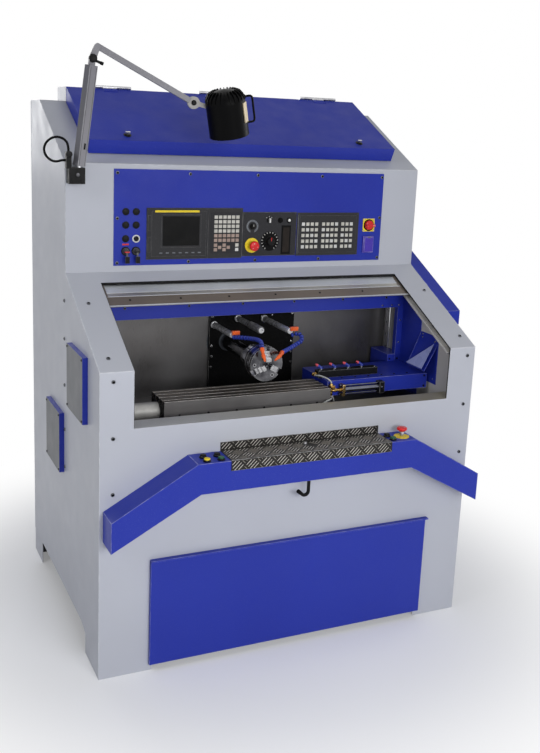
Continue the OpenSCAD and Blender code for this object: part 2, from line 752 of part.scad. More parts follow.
module door_sash() color(STEEL) in_cabinet() on_slope() translate([sash_x, sash_low, sash_top - sash_t]) {
    difference() {
        cube([sash_w, sash_l, sash_t]);
        translate([34, sash_rail, -1]) cube([sash_w - 68, sash_l - sash_rail - 40, sash_t + 2]);
    }
    translate([34, sash_rail, sash_t / 2 - 3]) cube([sash_w - 68, sash_l - sash_rail - 40, 6]);
}

// ---------- lid ----------

lid_rear_y = box_y0 - 6;

// Points of the (Y, Z) outline: u along the roof slope and t out of it, or straight above y
function roof_at(u, t) = [slope_run + u * cos(roof_angle) - t * sin(roof_angle),
    face_top + u * sin(roof_angle) + t * cos(roof_angle)];
function above_roof(y, t) = [y, face_top + (y - slope_run) * tan(roof_angle) + t / cos(roof_angle)];

// The lid's side outline, drawn in by a sheet thickness and cut off at a height
function lid_outline(t, low) = [roof_at(lid_inset + t, low), above_roof(lid_rear_y - t, low),
    above_roof(lid_rear_y - t, lid_top_t - t), roof_at(lid_inset + t, lid_top_t - t)];

module lid() color(BLUE) in_cabinet() {
    difference() {
        across(lid_x, lid_w) polygon(lid_outline(0, lid_foot));
        across(lid_x + lid_t, lid_w - 2 * lid_t) polygon(lid_outline(lid_t, -5));
        on_roof() for (x = latch_xs) translate([x, latch_u, 0]) cylinder(r = latch_r + run_gap, h = 100);
    }
    for (x = hinge_xs) difference() {
        translate([x - knuckle_l / 2, 0, 0]) union() {
            bar_x(0, hinge_y, hinge_z, hinge_r, knuckle_l);
            on_roof() translate([0, lid_end_u - 26, lid_top_t]) cube([knuckle_l, 26, 2]);
            translate([0, lid_rear_y - 3, box_top - 6]) cube([knuckle_l, 4, hinge_r + 6]);
        }
        bar_x(x - knuckle_l, hinge_y, hinge_z, hinge_pin_r + run_gap, 2 * knuckle_l);
    }
}

latch_u = 113;
latch_r = 6;
latch_xs = [257, cabinet_w - 258];

// A quarter-turn latch: knob, shaft and a cam under the roof sheet
module latch(x) color(BLACK) in_cabinet() on_roof() translate([x, latch_u, 0]) {
    translate([0, 0, lid_top_t + touch]) cylinder(r = 13, h = 6);
    translate([0, 0, lid_top_t + touch + 6]) hull() for (s = [-1, 1])
        translate([s * 9, 0, 0]) cylinder(r = 4, h = 14, $fn = 24);
    translate([0, 0, -14]) cylinder(r = latch_r, h = lid_top_t + 14 + touch);
    translate([-latch_r, -latch_r, -14]) cube([34, 2 * latch_r, 6]);
}

module lid_latch_left() latch(latch_xs[0]);
module lid_latch_right() latch(latch_xs[1]);

// ---------- control face ----------

// Places a piece on the control face: x from the left side, z above the slope, Z out of the face
module on_face(x, z) translate([x, plate_y, slope_top + z]) rotate([90, 0, 0]) children();

plug_d = 28;
plug_xs = [plate_x + 47, plate_x + 88];
plug_zs = [231, 180, 128];
key_z = 80;
stop_x = plate_x + 572;
stop_z = 96;
dial_z = 173;
override_x = plate_x + 651;
override_z = 112;
mode_x = plate_x + 645;
mode_z = 197;
switch_x = plate_x + 1114;
switch_z = 175;
shaft_r = 6;

module control_plate() in_cabinet() {
    color(BLUE) difference() {
        translate([plate_x, plate_y, slope_top + plate_z]) cube([plate_w, plate_t, plate_h]);
        translate([screen_x, plate_y - 1, screen_z]) cube([screen_w, plate_t + 2, screen_h]);
        translate([sub_x, plate_y - 1, sub_z]) cube([sub_w, plate_t + 2, sub_h]);
        translate([keys_x, plate_y - 1, keys_z]) cube([keys_w, plate_t + 2, keys_h]);
        for (x = plug_xs) on_face(x, key_z) translate([0, 0, -10]) cylinder(r = shaft_r + run_gap, h = 20);
        on_face(plug_xs[1], plug_zs[2]) translate([0, 0, -10]) cylinder(r = shaft_r + run_gap, h = 20);
        on_face(switch_x, switch_z) translate([0, 0, -10]) cylinder(r = shaft_r + run_gap, h = 20);
    }
    color(DARK) for (x = plug_xs, z = plug_zs) if (x != plug_xs[1] || z != plug_zs[2])
        on_face(x, z) cylinder(d1 = plug_d, d2 = plug_d - 6, h = 5);
    // Rings round the white button and the key switches
    color("white") on_face(plug_xs[1], plug_zs[2]) difference() {
        cylinder(d = plug_d + 2, h = 6);
        translate([0, 0, -1]) cylinder(d = button_d - 4 + 1, h = 8);
    }
    color(STEEL) for (x = plug_xs) on_face(x, key_z) difference() {
        cylinder(d = plug_d, h = 5);
        translate([0, 0, -1]) cylinder(r = shaft_r + run_gap, h = 8);
    }
    // Main switch plate and the socket cover below it
    color(YELLOW) on_face(switch_x, switch_z) difference() {
        translate([-30, -29, 0]) cube([60, 58, 3]);
        translate([0, 0, -1]) cylinder(r = shaft_r + run_gap, h = 8);
    }
    color(BLUE) on_face(switch_x, 93) translate([-27, -35, 0]) cube([54, 70, 14]);
}

unit_out = 4;

module control_units() in_cabinet() {
    screen_cx = screen_x + 67;
    color(DARK) difference() {
        translate([screen_x, plate_y - unit_out, screen_z]) cube([screen_w, unit_depth, screen_h]);
        translate([screen_cx, plate_y - unit_out - 1, screen_z + 49]) cube([156, 3, 119]);
    }
    color(BLACK) translate([screen_cx, plate_y - unit_out + 1, screen_z + 49]) cube([156, 1, 119]);
    color(DARK) difference() {
        translate([sub_x, plate_y - unit_out, sub_z]) cube([sub_w, unit_depth, sub_h]);
        for (p = [[stop_x, stop_z], [override_x, override_z], [stop_x, dial_z], [mode_x, mode_z]])
            on_face(p[0], p[1]) translate([0, 0, -unit_depth - 1]) cylinder(r = shaft_r + run_gap, h = 80);
    }
    color(DARK) translate([keys_x, plate_y - unit_out, keys_z]) cube([keys_w, unit_depth, keys_h]);
    color(YELLOW) on_face(stop_x, stop_z) translate([0, 0, unit_out]) difference() {
        cylinder(r = 30, h = 3);
        translate([0, 0, -1]) cylinder(r = shaft_r + run_gap, h = 8);
    }
}

// A block of keys with its lower left key at (x, z) above the slope
module key_block(x, z, cols, rows, pitch_x, pitch_z, w, h) for (c = [0:cols - 1], r = [0:rows - 1])
    on_face(x + c * pitch_x, z + r * pitch_z) translate([0, 0, unit_out]) cube([w, h, 2]);

module key_caps() color([0.8, 0.8, 0.76]) in_cabinet() {
    key_block(screen_x + 272, 110, 6, 6, 19.6, 17.6, 15, 13);
    for (p = [[0, 92], [0, 74], [18, 83], [37, 92], [37, 74], [55, 83], [92, 92], [92, 74]])
        key_block(screen_x + 272 + p[0], p[1], 1, 1, 0, 0, 14, 13);
    for (g = [0, 1, 2]) key_block(keys_x + 20 + 88 * g, 76, g < 2 ? 4 : 3, 5, 20.5, 28, 15, 15);
}

// A knob with a shaft into the face behind it
module face_knob(r, h, depth) {
    cylinder(r = shaft_r, h = h);
    translate([0, 0, -depth]) cylinder(r = shaft_r, h = depth + 1);
    translate([0, 0, touch]) cylinder(r = r, h = h);
}

module main_switch() color(RED) in_cabinet() on_face(switch_x, switch_z) translate([0, 0, 3]) {
    face_knob(19, 10, 20);
    translate([-20, -5, 8]) cube([40, 10, 16]);
}

module override_knob() color(BLACK) in_cabinet() on_face(override_x, override_z)
    translate([0, 0, unit_out]) {
    face_knob(20, 18, 20);
    translate([-3, 0, 17]) cube([6, 19, 4]);
}

module feed_dial() color(DARK) in_cabinet() on_face(stop_x, dial_z) translate([0, 0, unit_out]) {
    face_knob(12, 14, 20);
    translate([-1.5, 0, 13]) cube([3, 11, 2]);
}

module mode_knob() color("white") in_cabinet() on_face(mode_x, mode_z) translate([0, 0, unit_out]) {
    face_knob(9, 8, 20);
    translate([-2.5, -9, 7]) cube([5, 18, 7]);
}

// A key in its barrel, with a second key hanging from the ring
module key_switch(x) in_cabinet() on_face(x, key_z) translate([0, 0, 5]) {
    color(STEEL) face_knob(9, 7, 20);
    color(STEEL) translate([-8, -1, 7]) cube([16, 2, 20]);
    color(BLACK) translate([-2, -34, 18]) cube([10, 34, 3]);
}

module key_switch_left() key_switch(plug_xs[0]);
module key_switch_right() key_switch(plug_xs[1]);

// A push button: cap and stem, pressed along -Z
module push_button(d, h, depth) {
    cylinder(d = d, h = h);
    translate([0, 0, -depth]) cylinder(r = shaft_r, h = depth + 1);
}

module panel_button() color(BLACK) in_cabinet() on_face(plug_xs[1], plug_zs[2])
    translate([0, 0, button_travel + 1])
    push_button(button_d - 4, 4, 24);

// A mushroom head on a stem
module mushroom(r, stem, depth) {
    rotate_extrude() polygon([[0, stem], [r * 0.5, stem], [r * 0.7, stem + 4], [r, stem + 8],
        [r, stem + 14], [r * 0.85, stem + 18], [0, stem + 19]]);
    cylinder(r = r * 0.45, h = stem + 1);
    translate([0, 0, -depth]) cylinder(r = shaft_r, h = depth + 1);
}

stop_travel = 5;

module panel_stop() color(RED) in_cabinet() on_face(stop_x, stop_z)
    translate([0, 0, unit_out + 3 + stop_travel + 1])
    mushroom(20, 8, 26);

// ---------- console ----------

bar_l = cabinet_w - 2 * bar_inset;
wing_angle = atan(wing_drop / wing_run);

// The bar's front outline, drawn in by a wall thickness
function bar_outline(t) = let (a = t / cos(wing_angle) - t * tan(wing_angle),
        k = t * tan(wing_angle / 2), top = bar_z - t, low = bar_z - bar_h + t,
        e0 = bar_inset + t, e1 = cabinet_w - bar_inset - t, wing = tan(wing_angle),
        kx0 = bar_inset + wing_run, kx1 = cabinet_w - bar_inset - wing_run)
    [[e0, bar_z - (kx0 - e0) * wing - t / cos(wing_angle)], [kx0 + k, top], [kx1 - k, top],
     [e1, bar_z - (e1 - kx1) * wing - t / cos(wing_angle)],
     [e1, bar_z - (e1 - kx1) * wing - bar_h + t / cos(wing_angle)], [kx1 - k - 15, low],
     [kx0 + k + 15, low], [e0, bar_z - (kx0 - e0) * wing - bar_h + t / cos(wing_angle)]];

button_xs = [360, 413];
button_ys = [-46, -86];
right_buttons = [[1116, -42], [1118, -84]];
console_stop_at = [1172, -58];
button_seats = [[button_xs[0], button_ys[0]], [button_xs[0], button_ys[1]], [button_xs[1], button_ys[0]],
    [button_xs[1], button_ys[1]], right_buttons[0], right_buttons[1]];

module console_bar() in_cabinet() difference() {
    union() {
        color(BLUE) difference() {
            along_y(-bar_d, bar_d) polygon(bar_outline(0));
            along_y(-bar_d + sheet_t, bar_d - 2 * sheet_t) polygon(bar_outline(sheet_t));
        }
        color(BLACK) for (p = button_seats) translate([p[0], p[1], bar_z - 1])
            cylinder(d = button_d + 6, h = 4);
        color(YELLOW) translate([console_stop_at[0], console_stop_at[1], bar_z - 1])
            cylinder(r = 30, h = 3);
    }
    for (p = concat(button_seats, [console_stop_at]))
        translate([p[0], p[1], bar_z - 10]) cylinder(r = shaft_r + run_gap, h = 20);
}

module console_button(i, c) color(c) in_cabinet()
    translate([button_seats[i][0], button_seats[i][1], bar_z + 3 + button_travel + 0.5])
    push_button(button_d, 5, 24);

module console_button_1() console_button(0, BLACK);
module console_button_2() console_button(1, YELLOW);
module console_button_3() console_button(2, BLACK);
module console_button_4() console_button(3, GREEN);
module console_button_5() console_button(4, BLACK);
module console_button_6() console_button(5, GREEN);

module console_stop() color(RED) in_cabinet()
    translate([console_stop_at[0], console_stop_at[1], bar_z + 2 + stop_travel + 1])
    mushroom(20, 12, 26);

tread_x = 443;

module tread_tray() color(STEEL) in_cabinet() {
    across(tread_x, tread_w) polygon([[-bar_d - tread_t, bar_z + tread_t - tread_lip],
        [-bar_d, bar_z + tread_t - tread_lip], [-bar_d, bar_z], [0, bar_z],
        [0, bar_z + tread_t + tread_up], [-tread_t, bar_z + tread_t + tread_up],
        [-tread_t, bar_z + tread_t], [-bar_d - tread_t, bar_z + tread_t]]);
    translate([tread_x + tread_w / 2, -30, bar_z + tread_t - 1]) cylinder(r = 7, h = 9);
}

hook_x = 780;
hook_y = -56;
hook_r = 7;

module bar_hook() color(BLACK) in_cabinet() translate([hook_x, hook_y, bar_z - bar_h]) {
    translate([0, 0, -8]) cylinder(r = 11, h = 8);
    translate([0, 0, -52]) cylinder(r = hook_r, h = 45);
    translate([-24, 0, -52]) rotate([-90, 0, 0]) rotate_extrude(angle = 130)
        translate([24, 0]) circle(r = hook_r);
    translate([-24 + 24 * cos(130), 0, -52 - 24 * sin(130)]) rotate([0, -40, 0])
        cylinder(r = hook_r, h = 14);
}

// ---------- coolant tank ----------

tank_x = (cabinet_w - tank_w) / 2 + 1;
body_x = leg_w + 18;
body_w = cabinet_w - 2 * leg_w - 36;

module coolant_tank() in_cabinet() {
    color(BLUE) translate([0, -tank_proud, 0]) {
        translate([tank_x, 0, tank_gap]) cube([tank_w, 3, tank_h]);
        for (x = [tank_x, tank_x + tank_w - 3]) translate([x, 0, tank_gap])
            cube([3, tank_proud - 1, tank_h]);
        translate([tank_x, -6, tank_gap + tank_h - 6]) cube([tank_w + 10, tank_proud + 5, 6]);
    }
    color(STEEL) difference() {
        translate([body_x, 3 - tank_proud, rail_z + 12]) cube([body_w, tank_l, 285]);
        translate([body_x + 3, 6 - tank_proud, rail_z + 15]) cube([body_w - 6, tank_l - 6, 300]);
    }
    // Runners that ride on the frame's slides
    color(STEEL) for (x = [leg_w + 1, cabinet_w - leg_w - 19])
        translate([x, 60, rail_z + 12]) cube([18, tank_l - 80, 8]);
}

// ---------- side fittings ----------

cover_ys = [158, 535];
cover_zs = [front_h - 229, front_h - 543];
cover_rim = 12;

module side_covers() in_cabinet() for (i = [0, 1]) translate([-cover_out, cover_ys[i], cover_zs[i]]) {
    color(BLUE) difference() {
        translate([3, 0, 0]) cube([cover_out - 3, cover_s, cover_s]);
        translate([2, cover_rim, cover_rim])
            cube([cover_out + 2, cover_s - 2 * cover_rim, cover_s - 2 * cover_rim]);
    }
    color(GREY) cube([3, cover_s, cover_s]);
    color(DARK) for (y = [10, cover_s - 10], z = [10, cover_s - 10])
        translate([0, y, z]) rotate([0, -90, 0]) cap_screw(4, 3);
}

housing_y0 = 208;
housing_y1 = 800;
housing_drop = 61;

module side_housing() color(BLUE) in_cabinet() across(cabinet_w, housing_out) polygon([
    [housing_y0, front_h + housing_y0 * tan(slope_angle) - housing_drop],
    [housing_y1, front_h + housing_y1 * tan(slope_angle) - housing_drop],
    [housing_y1, front_h + housing_y1 * tan(slope_angle)],
    [housing_y0, front_h + housing_y0 * tan(slope_angle)]]);

screw_r = 7;
screw_h = 4;

module panel_screws() color(DARK) in_cabinet() {
    // Lower front and window slope
    for (x = [48, cabinet_w - 37], z = [438, 235, 34])
        translate([x, 0, front_h - z]) rotate([90, 0, 0]) cap_screw(screw_r, screw_h);
    on_slope() for (x = [47, cabinet_w - 36], y = [70, 379])
        translate([x, y, 0]) cap_screw(screw_r, screw_h);
    // Left and right sides
    for (drop = [770, 617, 437, 254, 106]) {
        translate([0, slope_run + 10, slope_top - drop]) rotate([0, -90, 0]) cap_screw(screw_r, screw_h);
        translate([cabinet_w, slope_run + 10, slope_top - max(drop, 136)])
            rotate([0, 90, 0]) cap_screw(screw_r, screw_h);
    }
    // Control plate
    for (x = [14, 303, 590, 880, 1166]) {
        on_face(plate_x + x, plate_z + 11) cap_screw(5, 2.5);
        on_face(plate_x + x, plate_z + plate_h - 15) cap_screw(5, 2.5);
    }
    for (x = [14, 1166]) on_face(plate_x + x, plate_z + 182) cap_screw(5, 2.5);
    // Header beam
    for (x = [0.14, 0.31, 0.46, 0.61, 0.76, 0.9])
        translate([cabinet_w * x, portal_y, header_z + 46]) rotate([90, 0, 0]) cap_screw(6, 3);
}

// ---------- lamp ----------

shoulder_x = 45;
shoulder_y = slope_run - 33;
base_w = 60;
base_d = 44;
base_h = 60;
post_r2 = 8;
post_h = 25;
gland_x = 6;
gland_z = shoulder_z + 51;

module lamp_base() in_cabinet() {
    color(BLACK) translate([shoulder_x - 39, slope_run - base_d, shoulder_z - 5 - base_h])
        cube([base_w, base_d, base_h]);
    color(STEEL) translate([shoulder_x, shoulder_y, shoulder_z - 5]) cylinder(r = post_r2, h = post_h);
    // Cable gland beside the arm
    color(BLACK) translate([gland_x - 10, shoulder_y - 11, shoulder_z - 9])
        cube([20, 24, gland_z - shoulder_z + 9]);
}

// The lamp's own frame: X along the arms, Z up, at the shoulder
module at_shoulder() translate([shoulder_x, shoulder_y, shoulder_z]) rotate(-lamp_turn) children();

elbow = [lower_arm_l * sin(arm_lean), 0, lower_arm_l * cos(arm_lean)];
arm_twist = 28;
elbow_pin_r = 5;
ear_gap = 20;

module lamp_lower_arm() in_cabinet() at_shoulder() {
    color(STEEL) difference() {
        union() {
            rotate([0, arm_lean, 0]) rotate(arm_twist) translate([-arm_side / 2, -arm_side / 2, 0.5])
                cube([arm_side, arm_side, lower_arm_l - 24]);
            hull() {
                translate(elbow) rotate([90, 0, 0]) translate([0, 0, -ear_gap / 2])
                    cylinder(r = 12, h = ear_gap, $fn = 32);
                rotate([0, arm_lean, 0]) translate([-12, -ear_gap / 2, lower_arm_l - 40])
                    cube([24, ear_gap, 10]);
            }
        }
        translate([0, 0, -6]) cylinder(r = post_r2 + run_gap, h = post_h + 1.5);
    }
    // Pin, its knob at the front and the clamp lever behind
    color(BLACK) translate(elbow) rotate([90, 0, 0]) translate([0, 0, -22])
        cylinder(r = elbow_pin_r, h = 44);
    color(BLACK) translate(elbow) rotate([90, 0, 0]) translate([0, 0, 18]) cylinder(r = 15, h = 12);
    color(BLACK) translate(elbow) translate([0, 26, 0]) rotate([0, 110, 0]) translate([0, 0, -8])
        cylinder(r = 5, h = 52);
}

link_run = 18;
link_rise = 44;
upper_drop = 27;
arm_bar = 20;
tip_pin_r = 6;
tip = elbow + [link_run, 0, link_rise] + upper_arm_l * [cos(upper_drop), 0, -sin(upper_drop)];

module lamp_upper_arm() in_cabinet() at_shoulder() {
    color(STEEL) {
        // Two ears astride the lower arm's head
        for (s = [-1, 1]) difference() {
            hull() {
                translate(elbow + [0, s * (ear_gap / 2 + touch + 3), 0]) rotate([90, 0, 0])
                    cylinder(r = 13, h = 5, center = true, $fn = 32);
                translate(elbow + [link_run, s * (ear_gap / 2 + touch + 3), link_rise])
                    rotate([90, 0, 0]) cylinder(r = 10, h = 5, center = true, $fn = 32);
            }
            translate(elbow) rotate([90, 0, 0]) cylinder(r = elbow_pin_r + run_gap, h = 60, center = true);
        }
        difference() {
            translate(elbow + [link_run, 0, link_rise]) rotate([0, 90 + upper_drop, 0])
                translate([-arm_bar / 2, -ear_gap / 2 - touch - 1, -8])
                    cube([arm_bar, ear_gap + 2 * touch + 2, upper_arm_l - 8]);
            translate(elbow) rotate([90, 0, 0]) cylinder(r = 14, h = 60, center = true);
        }
        translate(tip) rotate([90, 0, 0]) cylinder(r = 23, h = 16, center = true);
    }
    color(BLACK) translate(tip) rotate([90, 0, 0]) cylinder(r = tip_pin_r, h = 44, center = true);
}

head_h = 176;
head_tilt = 12;
head_nod = 10;
shade_t = 3;
yoke_y = 16;
head_off = [128, 0, -30];

module at_head() translate(tip + head_off) rotate([head_nod, -head_tilt, 0]) children();

module lamp_head() in_cabinet() at_shoulder() {
    color(STEEL) difference() {
        union() {
            translate(tip + [0, yoke_y, 0]) rotate([90, 0, 0]) cylinder(r = 16, h = 8, center = true);
            hull() {
                translate(tip + [12, yoke_y, 0]) rotate([90, 0, 0])
                    cylinder(r = 10, h = 8, center = true, $fn = 32);
                translate(tip + [60, yoke_y, -14]) rotate([90, 0, 0])
                    cylinder(r = 8, h = 8, center = true, $fn = 32);
            }
        }
        translate(tip) rotate([90, 0, 0]) cylinder(r = tip_pin_r + run_gap, h = 60, center = true);
    }
    color(BLACK) at_head() {
        difference() {
            rotate_extrude() polygon([[0, head_h / 2], [head_d * 0.32, head_h / 2 - 6],
                [head_d * 0.46, head_h / 2 - 26], [head_d / 2, head_h / 2 - 52], [head_d / 2, -head_h / 2],
                [head_d / 2 - shade_t, -head_h / 2], [head_d / 2 - shade_t, head_h / 2 - 53],
                [head_d * 0.46 - shade_t, head_h / 2 - 28], [head_d * 0.32 - 1, head_h / 2 - 6 - shade_t],
                [0, head_h / 2 - shade_t]]);
        }
        for (a = [0:30:330]) rotate(a) translate([20, -1.5, head_h / 2 - 20])
            cube([head_d * 0.46 - 20, 3, 22]);
        translate([0, 0, -head_h / 2 + 2]) cylinder(r = head_d / 2 - 2, h = 4);
        // Side handle
        for (z = [-52, 44]) translate([head_d / 2 - 2, -6, z]) cube([34, 12, 9]);
        translate([head_d / 2 + 26, -6, -52]) cube([7, 12, 100]);
    }
}

// The cable leaves the top of the gland, hangs out in a loop and comes back into its side
cable_r = 4.5;
cable_y = 477;
cable_loop = [[6, 51.4], [6, 63], [1, 83], [-14, 97], [-36, 102], [-58, 95], [-75, 78],
    [-81, 57], [-75, 36], [-58, 20], [-38, 15], [-20, 19], [-4.4, 20]];
cable_route = [for (p = cable_loop) [p[0], cable_y, shoulder_z + p[1]]];

module lamp_cable() color(BLACK) in_cabinet() {
    p = smooth(cable_route, 3);
    sweep(p, [for (q = p) cable_r], [0, 1, 0], 10);
}

left_side_panel();
right_side_panel();
front_skin();
control_face();
roof_panel();
rear_panel();
base_frame();
work_liner();
chip_tray();
portal_frame();
door_rails();
spindle_plate();
coolant_lines();
linear_guides();
chute();
screw_cover();
control_plate();
control_units();
key_caps();
side_covers();
side_housing();
console_bar();
tread_tray();
bar_hook();
panel_screws();
lamp_base();
spindle_drive();
table_bed();
door_sash();
lid();
lid_latch_left();
lid_latch_right();
chuck();
chuck_jaw_1();
chuck_jaw_2();
chuck_jaw_3();
slotted_table();
tool_carriage();
nozzle_block();
mist_fittings();
coolant_tank();
main_switch();
override_knob();
feed_dial();
key_switch_left();
key_switch_right();
mode_knob();
panel_button();
panel_stop();
console_stop();
console_button_1();
console_button_2();
console_button_3();
console_button_4();
console_button_5();
console_button_6();
lamp_lower_arm();
lamp_upper_arm();
lamp_head();
lamp_cable();
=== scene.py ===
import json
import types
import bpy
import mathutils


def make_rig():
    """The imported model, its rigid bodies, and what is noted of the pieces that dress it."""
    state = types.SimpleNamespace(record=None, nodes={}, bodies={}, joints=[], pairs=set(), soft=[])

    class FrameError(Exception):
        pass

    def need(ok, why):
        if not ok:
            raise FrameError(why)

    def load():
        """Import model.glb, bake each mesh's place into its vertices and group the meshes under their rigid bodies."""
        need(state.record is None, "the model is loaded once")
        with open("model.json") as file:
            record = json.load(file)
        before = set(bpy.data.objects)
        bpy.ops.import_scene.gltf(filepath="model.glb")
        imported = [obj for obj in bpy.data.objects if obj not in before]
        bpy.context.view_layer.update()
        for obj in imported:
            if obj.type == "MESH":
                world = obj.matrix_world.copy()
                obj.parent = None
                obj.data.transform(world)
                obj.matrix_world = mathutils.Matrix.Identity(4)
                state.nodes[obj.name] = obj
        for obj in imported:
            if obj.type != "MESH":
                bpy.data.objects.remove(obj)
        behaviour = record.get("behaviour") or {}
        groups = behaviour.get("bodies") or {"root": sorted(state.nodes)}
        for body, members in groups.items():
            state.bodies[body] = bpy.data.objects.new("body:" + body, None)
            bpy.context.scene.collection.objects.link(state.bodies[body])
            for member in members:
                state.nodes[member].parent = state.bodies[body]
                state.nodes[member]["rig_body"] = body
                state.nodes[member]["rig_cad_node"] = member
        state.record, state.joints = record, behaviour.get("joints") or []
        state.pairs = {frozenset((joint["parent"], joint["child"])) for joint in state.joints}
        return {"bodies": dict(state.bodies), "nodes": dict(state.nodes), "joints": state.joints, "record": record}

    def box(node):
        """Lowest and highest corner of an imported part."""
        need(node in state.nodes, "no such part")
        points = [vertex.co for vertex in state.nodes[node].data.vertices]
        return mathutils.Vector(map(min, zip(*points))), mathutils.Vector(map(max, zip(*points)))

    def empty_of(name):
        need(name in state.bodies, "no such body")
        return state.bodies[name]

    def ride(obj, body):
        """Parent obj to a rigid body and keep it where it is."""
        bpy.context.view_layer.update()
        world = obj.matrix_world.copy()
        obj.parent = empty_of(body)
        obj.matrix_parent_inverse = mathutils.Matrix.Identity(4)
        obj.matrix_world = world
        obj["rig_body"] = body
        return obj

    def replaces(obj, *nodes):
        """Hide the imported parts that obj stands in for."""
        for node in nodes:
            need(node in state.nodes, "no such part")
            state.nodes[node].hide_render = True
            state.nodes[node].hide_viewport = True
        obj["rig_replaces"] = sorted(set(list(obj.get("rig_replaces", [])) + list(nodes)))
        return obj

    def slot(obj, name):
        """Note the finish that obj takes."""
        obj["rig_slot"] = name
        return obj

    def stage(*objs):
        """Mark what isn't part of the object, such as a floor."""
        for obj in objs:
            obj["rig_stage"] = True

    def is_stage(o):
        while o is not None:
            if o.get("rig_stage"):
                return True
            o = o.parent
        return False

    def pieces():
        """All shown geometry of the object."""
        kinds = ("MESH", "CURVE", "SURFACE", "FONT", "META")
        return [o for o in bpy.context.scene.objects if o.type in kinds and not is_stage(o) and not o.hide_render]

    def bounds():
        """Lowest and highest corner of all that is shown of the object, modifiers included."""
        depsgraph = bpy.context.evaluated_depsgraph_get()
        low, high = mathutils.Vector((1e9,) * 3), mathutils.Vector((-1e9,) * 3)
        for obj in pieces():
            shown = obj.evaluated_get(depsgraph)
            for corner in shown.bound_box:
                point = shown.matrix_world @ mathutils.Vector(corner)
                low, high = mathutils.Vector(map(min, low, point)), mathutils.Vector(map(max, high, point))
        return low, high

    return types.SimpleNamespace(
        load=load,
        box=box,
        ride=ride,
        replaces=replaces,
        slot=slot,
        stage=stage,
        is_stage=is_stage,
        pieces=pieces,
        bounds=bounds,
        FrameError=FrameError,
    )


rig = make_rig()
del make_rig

bl_info = {
    "name": "Key cutting centre",
    "version": (1, 0, 0),
    "blender": (4, 5, 0),
    "location": "View3D > Sidebar > Key cutting",
    "description": "Enclosed key cutting centre with control face, work area, console bar and lamp",
    "category": "Add Mesh",
}

import json
import math
import sys

import bmesh
import bpy
from mathutils import Matrix, Vector

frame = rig.load()
CAD_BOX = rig.bounds()

MM = 0.001
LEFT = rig.box("left_side_panel")[0].x
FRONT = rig.box("front_skin")[0].y

# Millimetres from the left side, the lower front and the floor
CABINET_W = 1530.0
FRONT_H = 1140.0
FACE_Y = 510.0
FACE_LOW = 1395.0
FACE_TOP = 1805.0
PLATE_Y = 507.0
ROOF_Y = 965.0
ROOF_TOP = 2030.0
WINDOW_X0, WINDOW_X1 = 121.0, 1409.0
SLOPE = math.atan2(FACE_LOW - FRONT_H, FACE_Y)
SLOPE_LEN = math.hypot(FACE_LOW - FRONT_H, FACE_Y)
ROOF = math.atan2(ROOF_TOP - FACE_TOP, ROOF_Y - FACE_Y)
SHAFT_R = 6.0


# ---------- places ----------


def at(x, y, z):
    """A point in millimetres from the left side, the lower front and the floor."""
    return Vector((LEFT + x * MM, FRONT + y * MM, z * MM))


def placed(v):
    """The millimetres of a point, the other way round."""
    return (v.x - LEFT) / MM, (v.y - FRONT) / MM, v.z / MM


def on_slope(x, u, out=0.0):
    """A point on the window slope: u up the slope, out of it."""
    return at(x, u * math.cos(SLOPE) - out * math.sin(SLOPE),
              FRONT_H + u * math.sin(SLOPE) + out * math.cos(SLOPE))


def on_roof(x, u, out=0.0):
    """A point on the sloping roof: u up the roof, out of it."""
    return at(x, FACE_Y + u * math.cos(ROOF) - out * math.sin(ROOF),
              FACE_TOP + u * math.sin(ROOF) + out * math.cos(ROOF))


def on_face(x, z, out=0.0):
    """A point on the control plate: z above the slope, out of the plate."""
    return at(x, PLATE_Y - out, FACE_LOW + z)


OUT_FACE = Vector((0, -1, 0))
OUT_SLOPE = Vector((0, -math.sin(SLOPE), math.cos(SLOPE)))
UP_SLOPE = Vector((0, math.cos(SLOPE), math.sin(SLOPE)))
OUT_ROOF = Vector((0, -math.sin(ROOF), math.cos(ROOF)))
UP_ROOF = Vector((0, math.cos(ROOF), math.sin(ROOF)))
EAST = Vector((1, 0, 0))
NORTH = Vector((0, 1, 0))
UP = Vector((0, 0, 1))


# ---------- shapes ----------


def tell(verts, slot):
    """Gives every face of these vertices one finish."""
    for face in {f for v in verts for f in v.link_faces}:
        face.material_index = slot


def block(bm, low, high, slot=0):
    """A box between two corners."""
    place = Matrix.LocRotScale((low + high) / 2, None, high - low)
    verts = bmesh.ops.create_cube(bm, size=1.0, matrix=place)["verts"]
    tell(verts, slot)
    return verts


def slab(bm, corner, along, across, out, slot=0):
    """A box from one corner and its three edge vectors."""
    place = Matrix((along, across, out)).transposed().to_4x4()
    place.translation = corner + (along + across + out) / 2
    tell(bmesh.ops.create_cube(bm, size=1.0, matrix=place)["verts"], slot)


def rod(bm, start, end, r, sides=24, slot=0):
    """A round bar from one point to another, its radius in millimetres."""
    line = end - start
    place = Matrix.LocRotScale((start + end) / 2, line.to_track_quat("Z", "Y"), None)
    verts = bmesh.ops.create_cone(bm, cap_ends=True, segments=sides, radius1=r * MM,
                                  radius2=r * MM, depth=line.length, matrix=place)["verts"]
    tell(verts, slot)
    return verts


